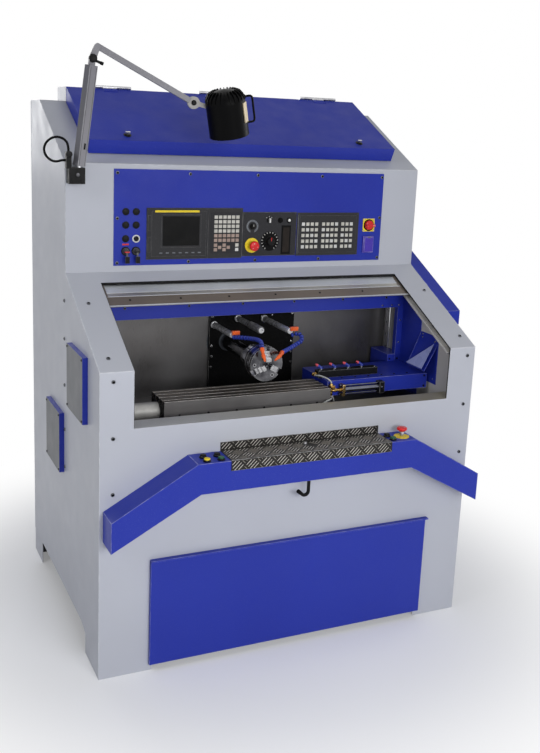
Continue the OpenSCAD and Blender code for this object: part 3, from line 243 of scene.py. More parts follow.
def turned(bm, start, axis, outline, sides=32, slot=0):
    """A turned shape: the outline gives (radius, distance along the axis) in millimetres."""
    axis = axis.normalized()
    side = axis.orthogonal().normalized()
    verts = [bm.verts.new(start + side * (r * MM) + axis * (h * MM)) for r, h in outline]
    edges = [bm.edges.new(pair) for pair in zip(verts, verts[1:])]
    made = bmesh.ops.spin(bm, geom=verts + edges, cent=start, axis=axis, angle=math.tau,
                          steps=sides, use_merge=True, use_duplicate=False)
    ends = [v for g in made["geom_last"]
            for v in ([g] if isinstance(g, bmesh.types.BMVert) else g.verts)]
    whole, queue = {}, [v for v in verts + ends if v.is_valid]
    while queue:
        v = queue.pop()
        if v not in whole:
            whole[v] = True
            queue.extend(e.other_vert(v) for e in v.link_edges)
    bmesh.ops.remove_doubles(bm, verts=list(whole), dist=1e-6)
    paint_outwards(bm, [v for v in whole if v.is_valid], slot)


def paint_outwards(bm, verts, slot):
    """Turns the faces of these vertices outwards and gives them one finish."""
    faces = list(dict.fromkeys(f for v in verts for f in v.link_faces))
    bmesh.ops.recalc_face_normals(bm, faces=faces)
    for face in faces:
        face.material_index = slot


def outline_plate(bm, points, depth, slot=0):
    """A flat outline pushed along a vector, as cut and bent sheet is."""
    verts = [bm.verts.new(p) for p in points]
    face = bm.faces.new(verts)
    made = bmesh.ops.extrude_face_region(bm, geom=[face])["geom"]
    moved = [g for g in made if isinstance(g, bmesh.types.BMVert)]
    bmesh.ops.translate(bm, verts=moved, vec=depth)
    paint_outwards(bm, verts + moved, slot)


def socket_screw(bm, place, out, r, h, slot=0, dark=1):
    """A cap screw with a hexagon socket, standing on a face; the socket walls take the dark slot, as painted shade."""
    verts = rod(bm, place, place + out * (h * MM), r, sides=24, slot=slot)
    top = [f for f in {f for v in verts for f in v.link_faces}
           if len(f.verts) == 24 and f.normal.dot(out) > 0.9][0]
    bmesh.ops.inset_region(bm, faces=[top], thickness=r * MM * 0.14, depth=r * MM * 0.1)
    bmesh.ops.inset_region(bm, faces=[top], thickness=r * MM * 0.28, depth=0.0)
    centre = top.calc_center_median()
    side = out.orthogonal().normalized()
    other = out.cross(side)
    for v in top.verts:
        arm = v.co - centre
        angle = math.atan2(arm.dot(other), arm.dot(side))
        near = (math.degrees(angle) % 60.0) - 30.0
        v.co = centre + arm.normalized() * (r * MM * 0.5 / math.cos(math.radians(near)))
    made = bmesh.ops.extrude_face_region(bm, geom=[top])["geom"]
    moved = [g for g in made if isinstance(g, bmesh.types.BMVert)]
    bmesh.ops.translate(bm, verts=moved, vec=-out * (h * MM * 0.55))
    tell(moved, dark)


def soften(bm, width, angle=30.0, steps=2, test=None, clamp=True):
    """Rounds the outward edges that are sharper than an angle, and marks the rounded faces, which the finishes lighten
    as wear and as painted edge highlight.
    """
    worn = bm.faces.layers.float.get("worn") or bm.faces.layers.float.new("worn")
    edges = [e for e in bm.edges
             if len(e.link_faces) == 2 and e.calc_face_angle_signed(0.0) > math.radians(angle)
             and (test is None or test(e))]
    if edges:
        made = bmesh.ops.bevel(bm, geom=edges, offset=width * MM, offset_type="OFFSET",
                               segments=steps, profile=0.5, affect="EDGES",
                               clamp_overlap=clamp, material=-1)
        for face in made["faces"]:
            face[worn] = 1.0


def body_name(node):
    """The body that a solid of the frame rides on."""
    return frame["nodes"][node]["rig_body"]


def add_trim(name, bm, finishes, node, crease=35.0):
    """Makes the mesh a piece beside a solid: it rides on that solid's body, in its material slot."""
    mesh = bpy.data.meshes.new(name)
    bm.to_mesh(mesh)
    bm.free()
    for finish in finishes:
        mesh.materials.append(finish_of(finish))
    mesh.shade_smooth()
    mesh.set_sharp_from_angle(angle=math.radians(crease))
    piece = bpy.data.objects.new(name, mesh)
    bpy.context.scene.collection.objects.link(piece)
    weights = piece.modifiers.new("Even_shading", "WEIGHTED_NORMAL")
    weights.keep_sharp = True
    weights.weight = 100
    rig.ride(piece, body_name(node))
    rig.slot(piece, node)
    return piece


def place_piece(name, bm, finishes, node, crease=35.0):
    """Makes the mesh a piece that stands for a solid."""
    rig.replaces(add_trim(name, bm, finishes, node, crease), node)


def copy_of(node):
    """A clean copy of a solid's mesh, with its flat faces whole again."""
    bm = bmesh.new()
    bm.from_mesh(frame["nodes"][node].data)
    bmesh.ops.remove_doubles(bm, verts=bm.verts, dist=2e-6)
    bmesh.ops.dissolve_limit(bm, angle_limit=math.radians(0.5), use_dissolve_boundaries=False,
                             verts=bm.verts, edges=bm.edges, delimit=set())
    return bm


def dressed(node, name, finishes, width=0.6, pick=None, angle=30.0, steps=2, test=None, clamp=True,
            crease=35.0, more=None):
    """A solid of the frame with rounded edges and its finishes, chosen by place."""
    bm = copy_of(node)
    soften(bm, width, angle, steps, test, clamp)
    if pick:
        for face in bm.faces:
            face.material_index = pick(placed(face.calc_center_median()), face.normal)
    if more:
        more(bm)
    place_piece(name, bm, finishes, node, crease)


# ---------- finishes ----------

WHITE = (1.0, 1.0, 1.0, 1.0)
BLACK = (0.0, 0.0, 0.0, 1.0)


def tone(r, g, b):
    """A colour written as 0 to 255 display values, as the shader takes it."""
    return tuple(((c / 255 + 0.055) / 1.055) ** 2.4 if c > 10 else c / 255 / 12.92
                 for c in (r, g, b)) + (1.0,)


def mixed(a, b, t):
    """A colour part of the way from one to another."""
    return tuple(x + (y - x) * t for x, y in zip(a, b))


class Bench:
    """Builds one finish's nodes from left to right."""

    def __init__(self, name):
        self.material = bpy.data.materials.new(name)
        self.material.use_nodes = True
        self.tree = self.material.node_tree
        self.shader = self.tree.nodes["Principled BSDF"]
        self.place = self.tree.nodes.new("ShaderNodeTexCoord").outputs["Object"]

    def put(self, socket, value):
        self.shader.inputs[socket].default_value = value

    def link(self, a, b):
        self.tree.links.new(a, b)

    def stretch(self, scale):
        node = self.tree.nodes.new("ShaderNodeMapping")
        node.inputs["Scale"].default_value = scale
        self.link(self.place, node.inputs["Vector"])
        return node.outputs["Vector"]

    def noise(self, scale, detail, vector=None):
        node = self.tree.nodes.new("ShaderNodeTexNoise")
        node.inputs["Scale"].default_value = scale
        node.inputs["Detail"].default_value = detail
        self.link(vector or self.place, node.inputs["Vector"])
        return node.outputs["Fac"]

    def span(self, value, low, high, to_low=0.0, to_high=1.0):
        node = self.tree.nodes.new("ShaderNodeMapRange")
        for socket, number in zip(("From Min", "From Max", "To Min", "To Max"),
                                  (low, high, to_low, to_high)):
            node.inputs[socket].default_value = number
        self.link(value, node.inputs["Value"])
        return node.outputs["Result"]

    def times(self, a, b):
        node = self.tree.nodes.new("ShaderNodeMath")
        node.operation = "MULTIPLY"
        for socket, value in zip(node.inputs, (a, b)):
            if isinstance(value, float):
                socket.default_value = value
            else:
                self.link(value, socket)
        return node.outputs[0]

    def blend(self, amount, a, b):
        node = self.tree.nodes.new("ShaderNodeMix")
        node.data_type = "RGBA"
        self.link(amount, node.inputs[0])
        for socket, value in zip((node.inputs[6], node.inputs[7]), (a, b)):
            if isinstance(value, tuple):
                socket.default_value = value
            else:
                self.link(value, socket)
        return node.outputs[2]

    def mark(self, name):
        node = self.tree.nodes.new("ShaderNodeAttribute")
        node.attribute_name = name
        return node.outputs["Fac"]

    def bump(self, height, strength, distance, under=None):
        node = self.tree.nodes.new("ShaderNodeBump")
        node.inputs["Strength"].default_value = strength
        node.inputs["Distance"].default_value = distance
        self.link(height, node.inputs["Height"])
        if under is not None:
            self.link(under, node.inputs["Normal"])
        return node.outputs["Normal"]

    def done(self, colour=None, rough=None, normal=None):
        for socket, value in (("Base Color", colour), ("Roughness", rough), ("Normal", normal)):
            if value is not None:
                self.link(value, self.shader.inputs[socket])
        return self.material


def powder_coat(name, colour, shade, rough=0.42, shine=0.28):
    """Powder coat on sheet steel: fine orange peel, slow waves of the sheet, and rounded edges lighter by rubbing and
    by painted highlight.
    """
    b = Bench(name)
    b.put("Specular IOR Level", shine)
    slow = b.noise(2.2, 4.0)
    paint = b.blend(b.span(slow, 0.35, 0.65), shade, colour)
    specks = b.span(b.noise(420.0, 2.0), 0.62, 0.72)
    paint = b.blend(b.times(specks, 0.10), paint, mixed(colour, WHITE, 0.35))
    rubbed = b.times(b.mark("worn"), b.span(b.noise(38.0, 5.0), 0.42, 0.66, 0.25, 0.8))
    paint = b.blend(rubbed, paint, mixed(colour, WHITE, 0.3))
    gloss = b.span(b.noise(14.0, 4.0), 0.3, 0.7, rough - 0.05, rough + 0.06)
    peel = b.bump(b.noise(520.0, 2.0), 0.10, 0.0004)
    wave = b.bump(b.noise(3.5, 1.0), 0.10, 0.006, peel)
    return b.done(paint, gloss, wave)


def brushed_steel(name, colour, shade, rough=0.3, lines=(1.0, 60.0, 60.0), metal=1.0, marks=0.5):
    """Ground or brushed sheet: long fine lines, soft smears and a few scratches."""
    b = Bench(name)
    b.put("Metallic", metal)
    along = b.stretch(lines)
    fine = b.noise(26.0, 4.0, along)
    cloud = b.noise(4.5, 5.0)
    paint = b.blend(b.span(cloud, 0.3, 0.7), shade, colour)
    paint = b.blend(b.times(b.span(fine, 0.35, 0.7), marks * 0.5), paint, mixed(colour, BLACK, 0.35))
    # Rounded edges lighter: rubbing and painted edge highlight
    rubbed = b.times(b.mark("worn"), b.span(b.noise(60.0, 4.0), 0.4, 0.6, 0.3, 0.9))
    paint = b.blend(rubbed, paint, mixed(colour, WHITE, 0.4))
    gloss = b.times(b.span(fine, 0.3, 0.7, rough - 0.06, rough + 0.09),
                    b.span(cloud, 0.3, 0.7, 0.85, 1.2))
    scored = b.bump(fine, 0.12, 0.0006)
    return b.done(paint, gloss, scored)


def turned_metal(name, colour, shade, rough=0.18, metal=1.0, grain=220.0, bumps=0.015):
    """Machined, plated or cast metal: fine grain, darker stains, and bright rounded edges from rubbing and painted
    highlight.
    """
    b = Bench(name)
    b.put("Metallic", metal)
    stain = b.noise(30.0, 5.0)
    paint = b.blend(b.span(stain, 0.35, 0.7), shade, colour)
    rubbed = b.times(b.mark("worn"), b.span(b.noise(90.0, 3.0), 0.35, 0.6, 0.3, 0.9))
    paint = b.blend(rubbed, paint, mixed(colour, WHITE, 0.35))
    gloss = b.span(b.noise(70.0, 4.0), 0.3, 0.7, rough - 0.05, rough + 0.1)
    rough_grain = b.bump(b.noise(grain, 3.0), bumps, 0.0006)
    return b.done(paint, gloss, rough_grain)


def faced_metal(name, colour, shade, centre, rough):
    """Metal faced on a lathe: fine rings about a centre, with stains across them."""
    b = Bench(name)
    b.put("Metallic", 1.0)
    mapping = b.tree.nodes.new("ShaderNodeMapping")
    mapping.inputs["Location"].default_value = [-c for c in centre]
    b.link(b.place, mapping.inputs["Vector"])
    rings = b.tree.nodes.new("ShaderNodeTexWave")
    rings.wave_type = "RINGS"
    rings.rings_direction = "Y"
    rings.inputs["Scale"].default_value = 120.0
    rings.inputs["Distortion"].default_value = 0.2
    b.link(mapping.outputs["Vector"], rings.inputs["Vector"])
    cut = rings.outputs["Fac"]
    stain = b.noise(26.0, 4.0)
    paint = b.blend(b.span(stain, 0.38, 0.62), shade, colour)
    paint = b.blend(b.times(cut, 0.35), paint, mixed(shade, BLACK, 0.4))
    # Every rounded edge lighter: painted edge highlight and rubbing
    rubbed = b.times(b.mark("worn"), 0.7)
    paint = b.blend(rubbed, paint, mixed(colour, WHITE, 0.4))
    return b.done(paint, b.span(stain, 0.3, 0.7, rough - 0.04, rough + 0.12), b.bump(cut, 0.05, 0.0002))


def moulded_plastic(name, colour, shade, rough=0.4, shine=0.4, peel=0.08, grain=700.0):
    """Moulded plastic or rubber: fine spark texture, handled edges lighter by wear and by painted highlight."""
    b = Bench(name)
    b.put("Specular IOR Level", shine)
    cloud = b.noise(40.0, 4.0)
    paint = b.blend(b.span(cloud, 0.35, 0.7), shade, colour)
    rubbed = b.times(b.mark("worn"), b.span(b.noise(120.0, 3.0), 0.35, 0.6, 0.2, 0.6))
    paint = b.blend(rubbed, paint, mixed(colour, WHITE, 0.18))
    gloss = b.span(b.noise(55.0, 3.0), 0.3, 0.7, rough - 0.05, rough + 0.07)
    return b.done(paint, gloss, b.bump(b.noise(grain, 2.0), peel, 0.0004))


def clear_pane(name):
    """Polycarbonate pane: clear, faintly grey, with fine wiping marks."""
    b = Bench(name)
    b.put("Transmission Weight", 0.8)
    b.put("IOR", 1.3)
    wiped = b.noise(16.0, 5.0, b.stretch((1.0, 6.0, 6.0)))
    paint = b.blend(b.span(wiped, 0.35, 0.7), tone(205, 208, 210), tone(232, 234, 236))
    gloss = b.span(wiped, 0.3, 0.75, 0.05, 0.16)
    return b.done(paint, gloss, b.bump(wiped, 0.04, 0.0008))


def dark_glass(name, colour, shade):
    """A switched-off screen behind its cover."""
    b = Bench(name)
    b.put("Coat Weight", 0.08)
    b.put("Coat Roughness", 0.1)
    b.put("Specular IOR Level", 0.1)
    smear = b.noise(24.0, 5.0)
    paint = b.blend(b.span(smear, 0.3, 0.7), shade, colour)
    return b.done(paint, b.span(smear, 0.3, 0.75, 0.12, 0.3), b.bump(b.noise(500.0, 2.0), 0.03, 0.0003))


def oiled_steel(name):
    """Bare sheet of the sill: grey and dry at one end, brown with cutting oil at the other."""
    b = Bench(name)
    b.put("Metallic", 0.25)
    fine = b.noise(26.0, 4.0, b.stretch((1.0, 60.0, 60.0)))
    parts = b.tree.nodes.new("ShaderNodeSeparateXYZ")
    b.link(b.place, parts.inputs["Vector"])
    along = b.times(b.span(parts.outputs["X"], -0.55, 0.35),
                    b.span(b.noise(5.0, 4.0), 0.2, 0.6, 0.75, 1.0))
    paint = b.blend(along, tone(212, 214, 216), tone(160, 152, 128))
    paint = b.blend(b.times(b.span(fine, 0.35, 0.7), 0.25), paint, tone(84, 80, 70))
    # Every rounded edge lighter: painted edge highlight and wear
    paint = b.blend(b.times(b.mark("worn"), 0.7), paint, tone(190, 190, 186))
    return b.done(paint, b.span(fine, 0.3, 0.7, 0.36, 0.5), b.bump(fine, 0.1, 0.0005))


def colour_of(name):
    """A colour that the user may change in the panel."""
    return tuple(getattr(bpy.context.scene.keycut_colours, name)) + (1.0,)


def panel_coat(name, choice, towards, share, rough, shine=0.28):
    """Powder coat in a colour of the panel, shaded part of the way towards another."""
    colour = colour_of(choice)
    return powder_coat(name, colour, mixed(colour, towards, share), rough, shine)


DEEP_BLUE = (0.0, 0.0, 0.1, 1)

# Each finish: its maker, its colour and shade as display values, and its further settings
FINISHES = {
    "grey_coat": lambda n: panel_coat(n, "cabinet_grey", (0.3, 0.3, 0.33, 1), 0.09, 0.42),
    "blue_coat": lambda n: panel_coat(n, "trim_blue", DEEP_BLUE, 0.14, 0.34),
    "dark_coat": (powder_coat, (58, 60, 66), (46, 48, 54), 0.5),
    "face_coat": (powder_coat, (47, 47, 50), (40, 40, 43), 0.5, 0.15),
    "unit_coat": (powder_coat, (52, 52, 54), (45, 45, 47), 0.5, 0.15),
    "satin_steel": (brushed_steel, (168, 168, 170), (140, 140, 143), 0.36, (60.0, 60.0, 1.0)),
    "wall_steel": (brushed_steel, (116, 115, 116), (96, 94, 94), 0.34, (60.0, 60.0, 1.2), 0.75),
    # Much lighter copy of the liner steel for its side walls and the door rails, as painted light
    "side_steel": (brushed_steel, (206, 204, 200), (184, 182, 178), 0.5, (60.0, 1.2, 60.0), 0.1, 0.3),
    "sill_steel": oiled_steel,
    "cover_steel": (turned_metal, (180, 179, 176), (164, 163, 160), 0.42, 0.15, 220.0, 0.0),
    "turned_face": lambda n: faced_metal(n, tone(116, 116, 120), tone(70, 70, 74), at(*SPINDLE), 0.16),
    # Bright strips on the door: the wide one over the pane is painted reflection, the thin ones are bright edges with
    # painted highlight
    "bright_strip": (brushed_steel, (206, 210, 216), (184, 188, 195), 0.4, (1.0, 40.0, 40.0), 0.4),
    "table_top": (brushed_steel, (124, 116, 108), (96, 90, 86), 0.36, (1.0, 60.0, 60.0), 0.75),
    "table_side": (brushed_steel, (124, 122, 122), (102, 100, 100), 0.44, (1.0, 30.0, 30.0), 0.5),
    "tread_base": (brushed_steel, (44, 42, 40), (32, 30, 29), 0.46, (20.0, 20.0, 20.0), 0.5),
    # Bars of the tread plate, much lighter than its base, as painted highlight
    "tread_bar": (brushed_steel, (216, 212, 204), (202, 198, 190), 0.34, (20.0, 20.0, 20.0), 0.3, 0.1),
    "chrome": (turned_metal, (222, 223, 226), (186, 187, 192), 0.12),
    "bright_steel": (turned_metal, (196, 196, 198), (156, 156, 160), 0.24),
    "dark_steel": (turned_metal, (92, 92, 95), (66, 66, 70), 0.34),
    "frame_steel": (turned_metal, (70, 72, 76), (52, 54, 58), 0.55, 0.3),
    "cast_iron": (turned_metal, (72, 76, 82), (54, 58, 64), 0.6, 0.25, 160.0, 0.25),
    "aluminium": (brushed_steel, (186, 184, 178), (160, 157, 150), 0.38, (1.0, 40.0, 40.0)),
    "black_plate": (powder_coat, (6, 6, 7), (4, 4, 5), 0.5, 0.08),
    "post_steel": (turned_metal, (208, 209, 212), (184, 185, 189), 0.26, 0.35, 220.0, 0.0),
    "sleeve_grey": (moulded_plastic, (92, 92, 94), (74, 74, 76), 0.34),
    "black_screw": (turned_metal, (34, 34, 36), (22, 22, 24), 0.35, 0.7),
    "brass": (turned_metal, (206, 172, 104), (166, 132, 74), 0.24),
    # Near black: the own colour of small black parts, and painted shade in screw sockets and holes
    "socket_dark": (moulded_plastic, (8, 8, 9), (6, 6, 7), 0.6, 0.1),
    "black_plastic": (moulded_plastic, (12, 12, 13), (8, 8, 9), 0.42, 0.16),
    "black_rubber": (moulded_plastic, (11, 11, 12), (8, 8, 9), 0.66, 0.12, 0.14, 420.0),
    "grey_plastic": (moulded_plastic, (118, 122, 128), (104, 108, 114), 0.42),
    "key_light": (moulded_plastic, (206, 204, 196), (188, 186, 178), 0.5),
    "key_brown": (moulded_plastic, (170, 150, 140), (154, 134, 124), 0.5),
    "white_plastic": (moulded_plastic, (226, 226, 222), (208, 208, 204), 0.36),
    "red_plastic": (moulded_plastic, (222, 34, 36), (196, 26, 30), 0.3),
    "yellow_plastic": (moulded_plastic, (236, 212, 40), (220, 190, 32), 0.4),
    "green_plastic": (moulded_plastic, (20, 92, 62), (14, 74, 48), 0.34),
    "orange_plastic": (moulded_plastic, (236, 104, 42), (214, 84, 30), 0.36),
    "hose_blue": (moulded_plastic, (42, 60, 158), (32, 48, 138), 0.3),
    "screen_glass": (dark_glass, (9, 9, 10), (7, 7, 8)),
    "clear_hose": (moulded_plastic, (196, 198, 196), (170, 172, 170), 0.2),
    "violet_cover": (powder_coat, (74, 54, 172), (64, 46, 156), 0.3),
    "plate_coat": (powder_coat, (30, 48, 158), (25, 41, 148), 0.42),
    "rail_brown": (brushed_steel, (118, 108, 98), (98, 90, 84), 0.42, (1.0, 60.0, 60.0), 0.35),
    "key_white": (moulded_plastic, (216, 216, 214), (198, 198, 196), 0.5),
    "screen_brown": (dark_glass, (40, 34, 30), (28, 24, 22)),
    "bar_coat": lambda n: panel_coat(n, "trim_blue", DEEP_BLUE, 0.1, 0.46),
    "cover_coat": (powder_coat, (112, 114, 118), (100, 102, 107), 0.5),
    # Lighter blue for the lit part of the chute's ramp, as painted light
    "chute_coat": (powder_coat, (160, 168, 216), (144, 152, 204), 0.3),
    "screw_rim": (turned_metal, (120, 122, 126), (88, 90, 94), 0.3, 0.8),
    "arm_light": (powder_coat, (142, 141, 146), (126, 125, 130), 0.46),
    "arm_dark": (powder_coat, (96, 96, 100), (82, 82, 86), 0.5),
    "disc_grey": (powder_coat, (168, 166, 164), (150, 148, 146), 0.4),
    "lamp_black": (moulded_plastic, (4, 4, 5), (3, 3, 4), 0.36, 0.07),
    # Metal plate on the shade's side, its light beige as painted reflection
    "lamp_tag": (brushed_steel, (190, 176, 150), (160, 148, 124), 0.36, (60.0, 60.0, 1.0)),
    # Darker copy of the arm grey for the lower arm's left-facing faces, as painted shade
    "arm_shade": (powder_coat, (110, 110, 116), (98, 98, 104), 0.5, 0.15),
    "mist_steel": (turned_metal, (118, 120, 132), (96, 98, 110), 0.16, 1.0, 220.0, 0.0),
    "chuck_steel": (turned_metal, (158, 158, 162), (108, 108, 114), 0.14),
    # The trim blue with less shine, so the lid's top and the side housing render darker, as painted shade
    "top_coat": lambda n: panel_coat(n, "trim_blue", DEEP_BLUE, 0.14, 0.5, 0.17),
    # Dark blue of the hose necks, as painted shade in the creases between beads
    "hose_neck": (moulded_plastic, (20, 27, 86), (14, 20, 70), 0.4, 0.2),
    # Bars of the other lean, a dimmer copy, as painted shade
    "tread_dim": (brushed_steel, (160, 154, 146), (140, 134, 126), 0.36, (20.0, 20.0, 20.0), 0.5, 0.3),
    "nozzle_red": (moulded_plastic, (206, 84, 96), (182, 64, 78), 0.34),
    "pane": clear_pane,
    "lamp_glass": (dark_glass, (200, 200, 192), (180, 180, 172)),
}


def finish_of(name):
    """The finish of that name, made once."""
    if name in bpy.data.materials:
        return bpy.data.materials[name]
    how = FINISHES[name]
    if callable(how):
        return how(name)
    maker, colour, shade, *settings = how
    return maker(name, tone(*colour), tone(*shade), *settings)


# ---------- cabinet ----------


def sheet_edges(scene):
    """The roundings of folded corners and of cut edges, in millimetres."""
    return scene.keycut_sizes.fold / MM, scene.keycut_sizes.edge / MM


def near(v, x=None, y=None, z=None):
    """True where a corner lies within 0.6 mm of the given places."""
    return all(want is None or abs(got - want) < 0.6 for got, want in zip(placed(v.co), (x, y, z)))


class KEYCUT_OT_cabinet(bpy.types.Operator):
    """Folded side panels, front skin, control face, roof and rear panel"""
    bl_idname = "keycut.cabinet"
    bl_label = "Cabinet panels"

    def execute(self, context):
        fold, edge = sheet_edges(context.scene)
        for node, side in (("left_side_panel", 0.0), ("right_side_panel", CABINET_W)):
            bm = copy_of(node)
            soften(bm, fold, 20.0, 4, lambda e, s=side: all(near(v, x=s) for v in e.verts), clamp=False)
            place_piece(node.capitalize() + "_sheet", bm, ["grey_coat"], node)
        bm = copy_of("front_skin")
        soften(bm, fold, 20.0, 4, lambda e: all(near(v, y=0.0, z=FRONT_H) for v in e.verts), clamp=False)
        soften(bm, edge, 30.0, 2,
               lambda e: all(WINDOW_X0 - 1 < (v.co.x - LEFT) / MM < WINDOW_X1 + 1 for v in e.verts),
               clamp=False)
        place_piece("Front_skin_sheet", bm, ["grey_coat"], "front_skin")
        dressed("control_face", "Control_face_sheet", ["grey_coat"], edge)
        bm = copy_of("roof_panel")
        for y, z in ((FACE_Y, FACE_TOP), (ROOF_Y, ROOF_TOP)):
            soften(bm, fold, 15.0, 4, lambda e, y=y, z=z: all(near(v, y=y, z=z) for v in e.verts),
                   clamp=False)
        box = lambda e: all(v.co.z / MM > 2029 for v in e.verts)
        soften(bm, 1.2, 40.0, 3,
               lambda e: box(e) and all(v.co.z / MM < 2086.9 for v in e.verts)
               and e.calc_length() > 0.02)
        for face in bm.faces:
            face.material_index = int(face.calc_center_median().z / MM > 2086.7)
        place_piece("Roof_sheet", bm, ["grey_coat", "bright_steel"], "roof_panel")
        dressed("rear_panel", "Rear_sheet", ["grey_coat"], edge)
        self.seams()
        return {"FINISHED"}

    def seams(self):
        """Folded flanges of the left and right sides, with their seam strips."""
        bm = bmesh.new()
        for x in (-0.6, CABINET_W - 0.4):
            block(bm, at(x, 1142.5, 105), at(x + 1.0, 1145.4, 2026))
        soften(bm, 0.3, 30.0, 2)
        add_trim("Rear_seams", bm, ["grey_coat"], "left_side_panel")


class KEYCUT_OT_window(bpy.types.Operator):
    """Rubber edging of the window and the sliding door with its pane"""
    bl_idname = "keycut.window"
    bl_label = "Window and door"

    def execute(self, context):
        top = SLOPE_LEN - 69.0
        bm = bmesh.new()
        slab(bm, on_slope(WINDOW_X0, top - 7, -5.5), EAST * 1.288, UP_SLOPE * 0.0085, OUT_SLOPE * 0.0065)
        for x, w in ((WINDOW_X0, 1.2), (WINDOW_X1 - 2.0, 2.0)):
            slab(bm, on_slope(x, 3, -3.4), EAST * (w * MM), UP_SLOPE * ((top - 6) * MM),
                 OUT_SLOPE * 0.0044)
            block(bm, at(x, -0.8, 937), at(x + w, 3.6, 1141.5))
            rod(bm, on_slope(x, 2.0, -1.8), on_slope(x + w, 2.0, -1.8), 2.6, sides=16)
        soften(bm, 0.5, 40.0, 2)
        add_trim("Window_edging", bm, ["black_rubber"], "front_skin")

        low = SLOPE_LEN - 208.0
        x0, x1 = 98.0, CABINET_W - 98.0
        wide = (x1 - x0) * MM
        bm = bmesh.new()
        slab(bm, on_slope(x0, low + 8, -12), EAST * wide, UP_SLOPE * 0.054, OUT_SLOPE * 0.004)
        slab(bm, on_slope(x0, low + 24, -28), EAST * wide, UP_SLOPE * 0.038, OUT_SLOPE * 0.0165)
        slab(bm, on_slope(x0, low + 470, -28), EAST * wide, UP_SLOPE * 0.040, OUT_SLOPE * 0.020)
        for x in (x0, x1 - 34):
            slab(bm, on_slope(x, low + 62, -28), EAST * 0.034, UP_SLOPE * 0.408, OUT_SLOPE * 0.020)
        soften(bm, 0.9, 30.0, 3)
        place_piece("Door_frame", bm, ["rail_brown"], "door_sash")
        bm = bmesh.new()
        # Thin bright edges with painted highlight, and a wide strip over the pane as painted reflection
        slab(bm, on_slope(x0 + 2, low + 6.4, -12.3), EAST * (wide - 0.004), UP_SLOPE * 0.0034,
             OUT_SLOPE * 0.0050, 2)
        slab(bm, on_slope(x0 + 34, low + 61.2, -11), EAST * (wide - 0.068), UP_SLOPE * 0.0036,
             OUT_SLOPE * 0.0042, 2)
        slab(bm, on_slope(x0 + 34, low + 64.5, -16), EAST * (wide - 0.068), UP_SLOPE * 0.024,
             OUT_SLOPE * 0.0050, 1)
        slab(bm, on_slope(x0 + 34, low + 88.3, -16), EAST * (wide - 0.068), UP_SLOPE * 0.046,
             OUT_SLOPE * 0.0058, 2)
        soften(bm, 0.5, 30.0, 2)
        add_trim("Door_trim", bm, ["bright_steel", "aluminium", "bright_strip"], "door_sash")
        bm = bmesh.new()
        slab(bm, on_slope(x0 + 30, low + 71, -19), EAST * (wide - 0.060), UP_SLOPE * 0.402,
             OUT_SLOPE * 0.006)
        soften(bm, 0.6, 30.0, 2)
        add_trim("Door_pane", bm, ["pane"], "door_sash")
        bm = bmesh.new()
        for k in range(6):
            socket_screw(bm, on_slope(209 + 199 * k, low + 39, -8), OUT_SLOPE, 4.2, 1.6)
        for x in (x0 + 10, x1 - 10):
            for u in (16, 50, 150, 480):
                socket_screw(bm, on_slope(x, low + u, -8), OUT_SLOPE, 4.2, 1.6)
        add_trim("Door_screws", bm, ["black_screw", "socket_dark"], "door_sash")
        # The rails take the lighter side-wall steel, as painted light
        dressed("door_rails", "Door_rails", ["side_steel"], 0.6)
        return {"FINISHED"}


# ---------- lid ----------


class KEYCUT_OT_lid(bpy.types.Operator):
    """Roof lid with its hinges and quarter-turn latches"""
    bl_idname = "keycut.lid"
    bl_label = "Lid and latches"

    def execute(self, context):
        def finish(p, n):
            """Bare steel on the hinges, the glossier blue on the front lip, and a duller copy of the blue elsewhere as
            painted shade.
            """
            if p[1] > 935.0 and p[2] > 2086.6 or p[1] > 941.5:
                return 1
            return 2 if n.y < -0.6 else 0

        dressed("lid", "Lid_pressing", ["top_coat", "bright_steel", "blue_coat"], 1.6, finish, 40.0, 3,
                test=lambda e: e.calc_length() > 0.045)
        for node, x in (("lid_latch_left", 257.0), ("lid_latch_right", CABINET_W - 258.0)):
            top = on_roof(x, 113, 60.3)
            bm = bmesh.new()
            turned(bm, top, OUT_ROOF, [(0, 0), (15, 0), (15, 2.2), (13.6, 3.4), (10.5, 3.4), (10.5, 5.2),
                                       (9.4, 6.2), (0, 6.2)], 36, 0)
            rod(bm, on_roof(x, 113, -14), on_roof(x, 113, 62), SHAFT_R, sides=24, slot=1)
            slab(bm, on_roof(x - 6, 107, -14), EAST * 0.034, UP_ROOF * 0.012, OUT_ROOF * 0.006, 1)
            slab(bm, on_roof(x - 9.5, 110, 66), EAST * 0.019, UP_ROOF * 0.006, OUT_ROOF * 0.010, 2)
            soften(bm, 0.9, 50.0, 3)
            place_piece(node.capitalize() + "_turn", bm,
                        ["black_plastic", "bright_steel", "bright_steel"], node)
        return {"FINISHED"}


# ---------- control face ----------

PLATE_X = 184.0
SCREEN = (PLATE_X + 129.0, 46.0, 400.0, 200.0)
KEYS = (PLATE_X + 773.0, 50.0, 290.0, 178.0)
SUB = (PLATE_X + 529.0, 52.0, 241.0, 178.0)
PLUG_XS = (PLATE_X + 47.0, PLATE_X + 88.0)
PLUG_ZS = (231.0, 180.0, 128.0)
STOP = (PLATE_X + 572.0, 96.0)
DIAL = (PLATE_X + 572.0, 173.0)
OVERRIDE = (PLATE_X + 651.0, 112.0)
MODE = (PLATE_X + 645.0, 197.0)
SWITCH = (PLATE_X + 1114.0, 175.0)


def face_block(bm, x, z, w, h, low, high, slot=0):
    """A box on the control face, from one distance out of it to another."""
    return block(bm, at(x, PLATE_Y - high, FACE_LOW + z),
                 at(x + w, PLATE_Y - low, FACE_LOW + z + h), slot)


def ticks(bm, centre, out, up, r0, r1, count, sweep, width, slot):
    """Raised scale lines round a knob."""
    for k in range(count):
        angle = math.radians(-sweep / 2 + sweep * k / (count - 1))
        arm = (Matrix.Rotation(angle, 3, out) @ up).normalized()
        side = out.cross(arm)
        slab(bm, centre + arm * (r0 * MM) - side * (width * MM / 2), side * (width * MM),
             arm * ((r1 - r0) * MM), out * 0.0004, slot)


